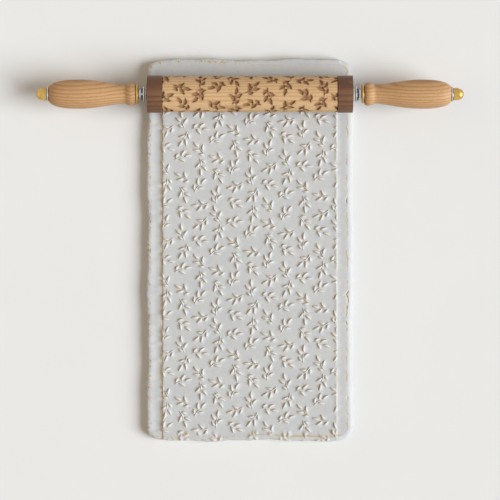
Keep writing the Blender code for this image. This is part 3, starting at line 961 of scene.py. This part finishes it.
def turned(name, section, side=1, closed=True, steps=turned_steps, across_flats=0):
    """A piece turned on the drum's axis. Its section's points are a place along and a radius.

    With across_flats, no point stands further out than a hexagon of that size.
    """
    angles = full_turn * np.arange(steps) / steps
    limit = np.full(steps, np.inf)
    if across_flats:
        sixth = full_turn / 6
        limit = across_flats / 2 / np.cos((angles + sixth / 2) % sixth - sixth / 2)
    vertices = []
    rings = []
    for along, radius in section:
        if radius < least_radius:
            rings.append([len(vertices)] * steps)
            vertices.append((side * along, axis_y, axis_z))
            continue
        rings.append(list(range(len(vertices), len(vertices) + steps)))
        for angle, most in zip(angles, limit):
            out = min(radius, most)
            vertices.append(
                (side * along, axis_y + out * math.cos(angle), axis_z + out * math.sin(angle))
            )
    pairs = list(zip(rings, rings[1:]))
    if closed:
        pairs.append((rings[-1], rings[0]))
    faces = []
    for near, far in pairs:
        for step in range(steps):
            after = (step + 1) % steps
            face = list(dict.fromkeys((near[step], near[after], far[after], far[step])))
            if len(face) > 2:
                faces.append(face)
    piece = new_piece(name, vertices, faces)
    close_seams(piece)
    return piece


def new_block(name, size, place):
    """A box round a place, to cut with."""
    shape = bmesh.new()
    bmesh.ops.create_cube(shape, size=1)
    bmesh.ops.scale(shape, vec=size, verts=shape.verts)
    mesh = bpy.data.meshes.new(name)
    shape.to_mesh(mesh)
    shape.free()
    block = add_object(name, mesh)
    block.location = place
    return block


def cut_away(piece, cutter):
    """Takes the cutter's space out of the piece, and removes the cutter."""
    boolean = piece.modifiers.new("cut", "BOOLEAN")
    boolean.object = cutter
    boolean.solver = "EXACT"
    bpy.context.view_layer.update()
    graph = bpy.context.evaluated_depsgraph_get()
    piece.data = bpy.data.meshes.new_from_object(piece.evaluated_get(graph))
    piece.modifiers.clear()
    bpy.data.objects.remove(cutter)
    piece.data.shade_smooth()
    piece.data.set_sharp_from_angle(angle=full_turn * cut_sharp_turns)


def tube(low, high, bore):
    """The section of a plain tube that fills a box along the drum's axis."""
    outer = outer_radius(low, high)
    return [(low.x, bore), (low.x, outer), (high.x, outer), (high.x, bore)]


def spline_through(points, steps):
    """Points on a smooth curve through the given ones, steps to each stretch."""
    padded = [points[0], *points, points[-1]]
    curve = []
    for place in range(len(points) - 1):
        a, b, c, d = (np.array(point) for point in padded[place:place + 4])
        for t in (step / steps for step in range(steps)):
            curve.append(tuple(0.5 * (
                2 * b + (c - a) * t + (2 * a - 5 * b + 4 * c - d) * t**2
                + (3 * b - a - 3 * c + d) * t**3
            )))
    curve.append(tuple(points[-1]))
    return curve


# Handle outline: share of its length from the drum, share of its greatest radius
handle_outline_shares = (
    (0.0, 0.68), (0.02, 0.77), (0.055, 0.8), (0.09, 0.74), (0.12, 0.66), (0.17, 0.66),
    (0.28, 0.75), (0.42, 0.89), (0.56, 0.98), (0.68, 1.0), (0.8, 0.97), (0.9, 0.87),
    (0.96, 0.73), (0.99, 0.6), (1.0, 0.52),
)
outline_steps = 5

# Sizes of the pieces that their boxes don't give
rod_radius = 2.5 * mm
rod_end_radius = 2 * mm
rod_chamfer = 0.5 * mm
groove_radius = 1.9 * mm
running_gap = 0.15 * mm
bush_radius = 3.45 * mm
end_bore = rod_end_radius + fit_gap
ferrule_wall = 1.4 * mm
ferrule_body = end_bore + ferrule_wall
ring_mouth = 2.6 * mm
ring_mouth_depth = 4 * mm
screw_count = 3
screw_head_to_shank_share = 1.875
screw_head_depth = 1.2 * mm
screw_length = 14 * mm
screw_slot_width = 0.45 * mm
screw_slot_depth = 0.5 * mm
screw_head_gap = 0.12 * mm
cutter_overrun = 1 * mm
nut_across_flats = 7 * mm
nut_hex_height = 3.2 * mm
nut_thread_depth = 3.8 * mm
nut_dome_inset = 0.35 * mm
nut_face_inset = 0.15 * mm
nut_chamfer_overrun = 0.17 * mm
nut_chamfer_slope = 0.45
nut_chamfer_steps = 8
nut_dome_steps = 12

# How far corners are rounded
rim_ease = 0.3 * mm
ferrule_ease = 0.3 * mm
bush_ease = 0.2 * mm
washer_ease = 0.16 * mm
rod_ease = 0.12 * mm
ring_ease = 0.1 * mm
screw_ease = 0.08 * mm

# The dome's foot on the hexagon: each point's height over it, and how far it stands out
nut_neck = ((0.08 * mm, 0.05 * mm), (0.1 * mm, 0.0))


def bush_section():
    face = rim_high.x + fit_gap
    bore = rod_radius + running_gap
    flange = outer_radius(bush_low, bush_high)
    return eased([
        (bush_low.x, bore), (bush_low.x, bush_radius), (face, bush_radius), (face, flange),
        (bush_high.x, flange), (bush_high.x, bore),
    ], bush_ease)


def washer_section(low, high, bore):
    return eased(tube(low, high, bore), washer_ease)


def ring_section():
    return eased(tube(ring_low, ring_high, groove_radius + fit_gap), ring_ease)


def ferrule_section():
    flange = outer_radius(ferrule_low, ferrule_high)
    shoulder = handle_low.x - fit_gap
    return eased([
        (ferrule_low.x, end_bore), (ferrule_low.x, flange), (shoulder, flange),
        (shoulder, ferrule_body), (ferrule_high.x, ferrule_body), (ferrule_high.x, end_bore),
    ], ferrule_ease)


def handle_section():
    """The handle's outline, its bore and the socket for the ferrule's body."""
    radius = outer_radius(handle_low, handle_high)
    length = handle_high.x - handle_low.x
    outline = [
        (handle_low.x + along * length, out * radius)
        for along, out in spline_through(handle_outline_shares, outline_steps)
    ]
    socket_end, socket_radius = ferrule_high.x + fit_gap, ferrule_body + fit_gap
    return outline + [
        (handle_high.x, end_bore), (socket_end, end_bore), (socket_end, socket_radius),
        (handle_low.x, socket_radius),
    ]


# The plain turned pieces of one end, from the drum outwards: name and node without their side,
# slot, body and section
end_pieces = (
    ("flanged_bush_", "bush_", "nylon", "drum", bush_section()),
    (
        "steel_spacer_washer_", "spacer_washer_", "steel", "grip",
        washer_section(washer_low, washer_high, rod_radius + fit_gap),
    ),
    (
        "steel_end_washer_", "end_washer_", "steel", "grip",
        washer_section(end_washer_low, end_washer_high, end_bore),
    ),
    ("spring_ring_", "retaining_ring_", "spring_steel", "grip", ring_section()),
    ("brass_ferrule_", "handle_ferrule_", "brass", "grip", ferrule_section()),
    ("turned_handle_", "handle_", "handle_wood", "grip", handle_section()),
)


def open_ring(piece, side):
    """Cuts the retaining ring's mouth, on the side where the frame's ring is open."""
    outer = outer_radius(ring_low, ring_high)
    size = (ring_mouth_depth, ring_mouth, 2 * outer)
    place = (side * ring_low.x, axis_y, axis_z - side * outer)
    cut_away(piece, new_block("mouth", size, place))


def screw_places(side_name):
    """Each rim screw's node, its head's radius and its middle off the drum's axis."""
    for number in range(1, screw_count + 1):
        node = f"rim_screw_{side_name}_{number}"
        low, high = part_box(node)
        middle = (low + high) / 2
        shift = Matrix.Translation((0, middle.y - axis_y, middle.z - axis_z))
        yield node, outer_radius(low, high), shift


def make_rim(side_name, side):
    section = eased(tube(rim_low, rim_high, bush_radius + fit_gap), rim_ease, steps=4)
    piece = turned("walnut_rim_" + side_name, section, side, steps=rim_steps)
    for _, head, shift in screw_places(side_name):
        shank = head / screw_head_to_shank_share + fit_gap
        mouth = head + screw_head_gap
        start, end = rim_low.x - cutter_overrun, rim_high.x + cutter_overrun
        hole = [
            (start, 0), (start, shank), (rim_high.x - screw_head_depth - fit_gap, shank),
            (rim_high.x - fit_gap, mouth), (end, mouth), (end, 0),
        ]
        cutter = turned("hole", hole, side, closed=False, steps=screw_steps)
        cutter.data.transform(shift)
        cut_away(piece, cutter)
    dress(piece, "rim_wood", "drum", "end_rim_" + side_name)


def make_screws(side_name, side):
    face = rim_high.x
    for node, head, shift in screw_places(side_name):
        shank = head / screw_head_to_shank_share
        section = eased([
            (face - screw_length, 0), (face - screw_length + shank, shank),
            (face - screw_head_depth, shank), (face, head), (face, 0),
        ], screw_ease, closed=False)
        name = node.replace("rim", "slotted")
        piece = turned(name, section, side, closed=False, steps=screw_steps)
        size = (2 * screw_slot_depth, screw_slot_width, 4 * head)
        cut_away(piece, new_block("slot", size, (side * face, axis_y, axis_z)))
        piece.data.transform(shift)
        dress(piece, "steel", "drum", node)


def make_rod():
    shoulder = ferrule_low.x - fit_gap
    groove_start, groove_end = ring_low.x - fit_gap, ring_high.x + fit_gap
    half = [
        (rod_high.x, 0), (rod_high.x, rod_end_radius - rod_chamfer),
        (rod_high.x - rod_chamfer, rod_end_radius), (shoulder, rod_end_radius),
        (shoulder, rod_radius), (groove_end, rod_radius), (groove_end, groove_radius),
        (groove_start, groove_radius), (groove_start, rod_radius),
    ]
    section = half + [(-along, radius) for along, radius in reversed(half)]
    piece = turned("turned_axle_rod", eased(section, rod_ease, closed=False), closed=False)
    dress(piece, "steel", "grip", "axle_rod")


def make_cap_nut(side_name, side):
    """A domed nut: a hexagon with both rims chamfered, and its crown."""
    flat = nut_across_flats / 2
    corner_rise = flat / math.cos(full_turn / 12) - flat
    hex_top = nut_low.x + nut_hex_height
    thread_end = nut_low.x + nut_thread_depth
    chamfer = []
    for share in (step / nut_chamfer_steps for step in range(nut_chamfer_steps + 1)):
        out = flat - nut_face_inset + (corner_rise + nut_chamfer_overrun) * share
        chamfer.append((nut_chamfer_slope * corner_rise * share, out))
    dome_radius = flat - nut_dome_inset
    section = [(thread_end, 0), (thread_end, end_bore), (nut_low.x, end_bore)]
    section += [(nut_low.x + along, out) for along, out in chamfer]
    section += [(hex_top - along, out) for along, out in reversed(chamfer)]
    section += [(hex_top + up, dome_radius + out) for up, out in nut_neck]
    dome_foot = section[-1][0]
    for step in range(1, nut_dome_steps):
        angle = full_turn / 4 * step / nut_dome_steps
        section.append((
            dome_foot + (nut_high.x - dome_foot) * math.sin(angle), dome_radius * math.cos(angle)
        ))
    section.append((nut_high.x, 0))
    name = "brass_cap_nut_" + side_name
    piece = turned(name, section, side, closed=False, across_flats=nut_across_flats)
    dress(piece, "brass", "grip", "cap_nut_" + side_name)


# Materials


class Recipe:
    """A Principled material, with short calls to add nodes to it.

    Where a noise is given as a row, it is its scale per metre, its detail and its roughness.
    """

    def __init__(self, name):
        self.material = bpy.data.materials.new(name)
        self.material.use_nodes = True
        self.tree = self.material.node_tree
        self.shader = self.tree.nodes["Principled BSDF"]
        self.object_place = self.node("ShaderNodeTexCoord").outputs["Object"]

    def node(self, kind, values=None, **settings):
        made = self.tree.nodes.new(kind)
        for key, value in settings.items():
            setattr(made, key, value)
        for key, value in (values or {}).items():
            self.feed(made.inputs[key], value)
        return made

    def feed(self, socket, value):
        if isinstance(value, bpy.types.NodeSocket):
            self.tree.links.new(value, socket)
        elif socket.type == "RGBA" and len(value) == 3:
            socket.default_value = (*value, 1)
        else:
            socket.default_value = value

    def finish(self, values):
        """Sets the shader's sockets by name, and gives the material."""
        for key, value in values.items():
            self.feed(self.shader.inputs[key], value)
        return self.material

    def vector(self, operation, *values, output="Vector"):
        made = self.node("ShaderNodeVectorMath", dict(enumerate(values)), operation=operation)
        return made.outputs[output]

    def noise(self, scale, detail=3.0, roughness=0.5, place=None):
        """Noise between 0 and 1. The scale is a number or one for each axis."""
        if not isinstance(scale, tuple):
            scale = (scale, scale, scale)
        return self.node("ShaderNodeTexNoise", {
            "Vector": self.vector("MULTIPLY", place or self.object_place, scale),
            "Scale": 1.0, "Detail": detail, "Roughness": roughness,
        }).outputs["Fac"]

    def math(self, operation, *values):
        made = self.node("ShaderNodeMath", dict(enumerate(values)), operation=operation)
        return made.outputs[0]

    def product(self, first, *others):
        for other in others:
            first = self.math("MULTIPLY", first, other)
        return first

    def between(self, value, low, high, to_low=0.0, to_high=1.0):
        """The value's place between two limits, smoothed and mapped to two others."""
        limits = {"From Min": low, "From Max": high, "To Min": to_low, "To Max": to_high}
        return self.node(
            "ShaderNodeMapRange", {"Value": value, **limits}, interpolation_type="SMOOTHSTEP"
        ).outputs["Result"]

    def mix(self, share, first, second):
        made = self.node("ShaderNodeMix", data_type="RGBA")
        for socket, value in ((0, share), (6, first), (7, second)):
            self.feed(made.inputs[socket], value)
        return made.outputs[2]

    def blotched(self, ground, colour, noise, low, high, most=1.0):
        """A ground with a colour over it, up to a share, where a noise is between two limits."""
        return self.mix(self.between(self.noise(*noise), low, high, 0, most), ground, colour)

    def attribute(self, name):
        return self.node("ShaderNodeAttribute", attribute_name=name).outputs["Fac"]

    def bump(self, height, distance, strength, under=None):
        values = {"Height": height, "Distance": distance, "Strength": strength}
        if under is not None:
            values["Normal"] = under
        made = self.node("ShaderNodeBump", values).outputs["Normal"]
        self.feed(self.shader.inputs["Normal"], made)
        return made


def srgb(red, green, blue):
    """A colour written as a screen shows it, from 0 to 255, as the shader's linear values."""
    linear = []
    for part in (red, green, blue):
        part /= 255
        linear.append(part / 12.92 if part <= 0.04045 else ((part + 0.055) / 1.055) ** 2.4)
    return tuple(linear)


# What lies over the clay's ground, from wide to fine: colour, noise, the limits between which it
# rises and its greatest share
clay_ground = srgb(196, 197, 196)
clay_blotches = (
    (srgb(201, 201, 199), (45, 4, 0.6), 0.35, 0.65, 1.0),
    (srgb(188, 191, 197), (330, 3, 0.6), 0.45, 0.75, 0.6),
    (srgb(207, 202, 188), (510, 3, 0.6), 0.48, 0.75, 0.7),
    (srgb(200, 184, 152), (900, 2, 0.5), 0.69, 0.77, 0.5),
    (srgb(150, 148, 150), (1500, 1, 0.5), 0.76, 0.82, 0.4),
)


def clay_material():
    recipe = Recipe("pale_clay")
    ground = clay_ground
    for blotch in clay_blotches:
        ground = recipe.blotched(ground, *blotch)
    # Painted highlight: where the print and the right bead stand up, the ground is made paler
    crown = recipe.product(recipe.attribute("crown"), 0.75)
    ground = recipe.mix(crown, ground, srgb(217, 218, 217))
    place = recipe.node("ShaderNodeSeparateXYZ", {0: recipe.object_place}).outputs
    on_right = recipe.math("GREATER_THAN", place[0], 0.0)
    inset = recipe.attribute("inset")
    torn = recipe.product(
        recipe.between(recipe.noise((1100, 560, 1100), 2, 0.5), 0.56, 0.66, 0, 0.9),
        recipe.between(inset, 0.3 * mm, 0.9 * mm),
        recipe.between(inset, 1.9 * mm, 3.0 * mm, 1, 0),
        recipe.math("SUBTRACT", 1.0, on_right),
    )
    # Painted shade: a thin dark line along the right margin, where a crack's shade falls
    wander = recipe.between(recipe.noise((0, 240, 0), 2, 0.5), 0.2, 0.8, 2.2 * mm, 3.6 * mm)
    from_line = recipe.math("ABSOLUTE", recipe.math("SUBTRACT", inset, wander))
    seam = recipe.product(
        recipe.between(from_line, 0.1 * mm, 0.6 * mm, 0.75, 0),
        recipe.between(recipe.noise((0, 90, 0), 3, 0.6), 0.42, 0.6),
        on_right,
    )
    # The tan holds painted shade on shaded flanks, the left step, the right bead and cracks, and
    # real specks and foot lines
    patchy = recipe.between(recipe.noise(600, 3, 0.6), 0.3, 0.6, 0.6, 1.0)
    stain_and_painted_shade = recipe.product(recipe.attribute("stain_and_painted_shade"), patchy)
    stain_and_painted_shade = recipe.math("MAXIMUM", stain_and_painted_shade, recipe.math("MAXIMUM", torn, seam))
    stain_and_shade_colour = recipe.blotched(srgb(197, 158, 56), srgb(185, 143, 44), (240, 2, 0.5), 0.35, 0.65)
    grain = recipe.bump(recipe.noise(5200, 3, 0.65), 0.02 * mm, 0.5)
    recipe.bump(recipe.noise(420, 4, 0.6), 0.09 * mm, 0.55, grain)
    return recipe.finish({
        "Base Color": recipe.mix(recipe.math("MINIMUM", stain_and_painted_shade, 0.9), ground, stain_and_shade_colour),
        "Roughness": recipe.between(recipe.noise(800, 3, 0.6), 0.3, 0.7, 0.68, 0.86),
        "Specular IOR Level": 0.35,
    })


def scorched(recipe, colour):
    """The sleeve's wood, burnt in its pockets and browned round them."""
    scorch = recipe.attribute("scorch")
    colour = recipe.mix(recipe.between(scorch, 0.3, 1.0, 0, 0.5), colour, srgb(146, 98, 56))
    soot = recipe.blotched(
        srgb(64, 38, 22), srgb(96, 60, 36), ((300, 1800, 1800), 3, 0.6), 0.35, 0.65
    )
    return recipe.mix(recipe.between(scorch, 0.97, 1.06), colour, soot)


wood_stretch = (0.03, 1, 1)
ring_wander = 4 * mm


def wood(name, colours, ring_width, pith, pore_cut, roughness, bumps, gloss=None, over=None):
    """A turned wood with its grain along X: growth rings round a far pith, fibres and pores.

    The colours are the early wood's, the late wood's and the pores'. The pith is where it lies
    off the drum's axis, and there are pores where their noise is over the pore cut. The bumps
    are the fibres' and the pores': a distance and a strength. The gloss holds further values of
    the shader, and over is a function that paints over the wood.
    """
    recipe = Recipe(name)
    pale, late, pore = (srgb(*colour) for colour in colours)
    moved = recipe.vector(
        "ADD", recipe.object_place, (0, pith[0] - axis_y, pith[1] - axis_z)
    )
    flat = recipe.vector("MULTIPLY", moved, wood_stretch)
    distance = recipe.vector("LENGTH", flat, output="Value")
    wander = recipe.product(recipe.noise((9, 60, 60)), ring_wander)
    ring = recipe.math(
        "FRACT", recipe.math("DIVIDE", recipe.math("ADD", distance, wander), ring_width)
    )
    colour = recipe.mix(recipe.between(ring, 0.35, 0.95, 0, 0.75), pale, late)
    fibres = recipe.noise((90, 2600, 2600), 4, 0.65)
    colour = recipe.mix(recipe.between(fibres, 0.35, 0.7, 0, 0.3), colour, late)
    pores = recipe.noise((420, 4200, 4200), 2, 0.5)
    pores = recipe.between(pores, pore_cut, pore_cut + 0.06, 0, 0.7)
    colour = recipe.mix(pores, colour, pore)
    tone = recipe.between(recipe.noise((6, 30, 30), 2, 0.5), 0.3, 0.7)
    colour = recipe.mix(recipe.product(tone, 0.16), colour, late)
    under = recipe.bump(fibres, *bumps[0])
    if len(bumps) > 1:
        recipe.bump(recipe.math("SUBTRACT", 1.0, pores), *bumps[1], under)
    return recipe.finish({
        "Base Color": over(recipe, colour) if over else colour,
        "Roughness": recipe.between(fibres, 0.3, 0.7, *roughness),
        **(gloss or {}),
    })


def turned_metal(name, bright, dull, roughness, mark_size):
    """A turned metal: fine rings along its axis and round its faces, with handling marks."""
    recipe = Recipe(name)
    centred = recipe.vector("ADD", recipe.object_place, (0, -axis_y, -axis_z))
    along = recipe.node("ShaderNodeSeparateXYZ", {0: centred}).outputs[0]
    radius = recipe.vector(
        "LENGTH", recipe.vector("MULTIPLY", centred, (0, 1, 1)), output="Value"
    )
    lathe = recipe.node("ShaderNodeCombineXYZ", {"X": along, "Y": radius}).outputs[0]
    marks = recipe.noise(1 / mark_size, 3, 0.7, place=lathe)
    handled = recipe.noise(260, 4, 0.6)
    worn = recipe.between(handled, 0.3, 0.7, roughness - 0.05, roughness + 0.08)
    recipe.bump(marks, 0.006 * mm, 0.6)
    return recipe.finish({
        "Base Color": recipe.mix(
            recipe.between(handled, 0.35, 0.7), srgb(*bright), srgb(*dull)
        ),
        "Roughness": recipe.math("ADD", worn, recipe.product(marks, 0.08)),
        "Metallic": 1.0,
    })


def nylon_material():
    recipe = Recipe("natural_nylon")
    mottle = recipe.noise(700, 3, 0.5)
    recipe.bump(recipe.noise(2500, 2, 0.5), 0.01 * mm, 0.5)
    return recipe.finish({
        "Base Color": recipe.mix(
            recipe.between(mottle, 0.3, 0.7), srgb(228, 225, 214), srgb(218, 213, 200)
        ),
        "Roughness": recipe.between(mottle, 0.3, 0.7, 0.42, 0.52),
    })


def oiled(specular):
    return {"Specular IOR Level": specular, "Coat Weight": 0.06, "Coat Roughness": 0.45}


materials = {
    "handle_wood": wood(
        "oiled_beech", ((205, 163, 116), (172, 122, 76), (126, 82, 48)), 1.7 * mm,
        (31 * mm, 12 * mm), 0.63, (0.5, 0.64), ((0.02 * mm, 0.5), (0.03 * mm, 0.5)), oiled(0.35),
    ),
    "rim_wood": wood(
        "oiled_walnut", ((124, 84, 56), (84, 52, 34), (44, 26, 18)), 2.3 * mm,
        (19 * mm, 27 * mm), 0.6, (0.46, 0.6), ((0.03 * mm, 0.5), (0.04 * mm, 0.6)), oiled(0.4),
    ),
    "core_wood": wood(
        "plain_beech", ((214, 182, 138), (188, 148, 102), (150, 108, 68)), 1.9 * mm,
        (23 * mm, 18 * mm), 0.63, (0.55, 0.7), ((0.03 * mm, 0.6),),
    ),
    "engraved_wood": wood(
        "engraved_beech", ((216, 180, 134), (188, 143, 96), (150, 104, 64)), 1.8 * mm,
        (26 * mm, -22 * mm), 0.62, (0.46, 0.62), ((0.025 * mm, 0.5), (0.03 * mm, 0.5)),
        over=scorched,
    ),
    "steel": turned_metal("turned_steel", (208, 208, 210), (186, 186, 190), 0.26, 0.09 * mm),
    "brass": turned_metal("satin_brass", (214, 178, 104), (190, 150, 82), 0.38, 0.12 * mm),
    "spring_steel": turned_metal("blackened_steel", (74, 72, 72), (52, 50, 50), 0.4, 0.1 * mm),
    "nylon": nylon_material(),
    "clay": clay_material(),
}


# Stage, light and camera

# Each lamp's height, way round from the right and softness, in degrees
key_angles = (34, -12, 40)
warm_angles = (36, 172, 60)

# How much of the light on a level surface comes from the warm lamp and from the surround
warm_share = 0.1
ambient_share = 0.27
warm_colour = (1.0, 0.7, 0.35)
ambient_colour = (1.0, 0.96, 0.91)
backdrop_colour = (234, 233, 230)
view_span = 294.1 * mm
camera_height = 1500 * mm
sight_limit = 20
floor_reach = 6
floor_drop = 0.02 * mm


def make_floor():
    recipe = Recipe("pale_floor")
    material = recipe.finish({
        "Base Color": recipe.mix(recipe.noise(14), srgb(232, 231, 228), srgb(236, 235, 232)),
        "Roughness": recipe.between(recipe.noise(60), 0.3, 0.7, 0.82, 0.9),
        "Specular IOR Level": 0.0,
    })
    shape = bmesh.new()
    bmesh.ops.create_grid(shape, x_segments=8, y_segments=8, size=floor_reach)
    mesh = bpy.data.meshes.new("floor")
    shape.to_mesh(mesh)
    shape.free()
    mesh.materials.append(material)
    floor = add_object("floor", mesh)
    floor.location.z = -floor_drop


def add_sun(name, share, colour, angles):
    """A soft lamp from a direction, which adds a share of plain light to a level surface."""
    height, turn, softness = (math.radians(angle) for angle in angles)
    sun = bpy.data.lights.new(name, "SUN")
    sun.angle = softness
    sun.energy = share * math.pi / math.sin(height)
    sun.color = colour
    direction = Vector((
        math.cos(height) * math.cos(turn), math.cos(height) * math.sin(turn), math.sin(height)
    ))
    add_object(name, sun).rotation_euler = direction.to_track_quat("Z", "Y").to_euler()


def make_light():
    """A key from the right, a faint warm lamp from the left and an even surround.

    Together they light a level surface with plain white.
    """
    key_share = 1 - warm_share - ambient_share
    key_colour = tuple(
        (1 - warm_share * warm - ambient_share * ambient) / key_share
        for warm, ambient in zip(warm_colour, ambient_colour)
    )
    add_sun("key", key_share, key_colour, key_angles)
    add_sun("warm", warm_share, warm_colour, warm_angles)
    world = bpy.data.worlds.new("studio")
    bpy.context.scene.world = world
    world.use_nodes = True
    nodes, link = world.node_tree.nodes, world.node_tree.links.new
    ambient = nodes["Background"]
    ambient.inputs["Color"].default_value = (*ambient_colour, 1)
    ambient.inputs["Strength"].default_value = ambient_share
    seen = nodes.new("ShaderNodeBackground")
    seen.inputs["Color"].default_value = (*srgb(*backdrop_colour), 1)
    seen.inputs["Strength"].default_value = 1
    path = nodes.new("ShaderNodeLightPath")
    rays = path.outputs["Is Camera Ray"]
    for name in ("Is Glossy Ray", "Is Transmission Ray"):
        either = nodes.new("ShaderNodeMath")
        either.operation = "MAXIMUM"
        link(rays, either.inputs[0])
        link(path.outputs[name], either.inputs[1])
        rays = either.outputs[0]
    blend = nodes.new("ShaderNodeMixShader")
    for socket, source in enumerate((rays, ambient.outputs[0], seen.outputs[0])):
        link(source, blend.inputs[socket])
    link(blend.outputs[0], nodes["World Output"].inputs[0])


def make_camera():
    lens = bpy.data.cameras.new("camera")
    lens.sensor_fit = "HORIZONTAL"
    lens.angle = 2 * math.atan(view_span / 2 / (camera_height - band_thickness))
    lens.clip_end = sight_limit
    camera = add_object("camera", lens)
    camera.location = (0, 0, camera_height)
    bpy.context.scene.camera = camera


bpy.context.scene.view_settings.view_transform = "Standard"
make_camera()
make_light()
make_floor()

make_clay_strip()
make_sleeve()
make_rod()
for side_name, side in (("left", -1), ("right", 1)):
    make_rim(side_name, side)
    make_screws(side_name, side)
    for name, node, slot, body, section in end_pieces:
        piece = turned(name + side_name, section, side)
        if node == "retaining_ring_":
            open_ring(piece, side)
        dress(piece, slot, body, node + side_name)
    make_cap_nut(side_name, side)

core = frame["nodes"]["barrel_core"]
core.data.materials.clear()
core.data.materials.append(materials["core_wood"])
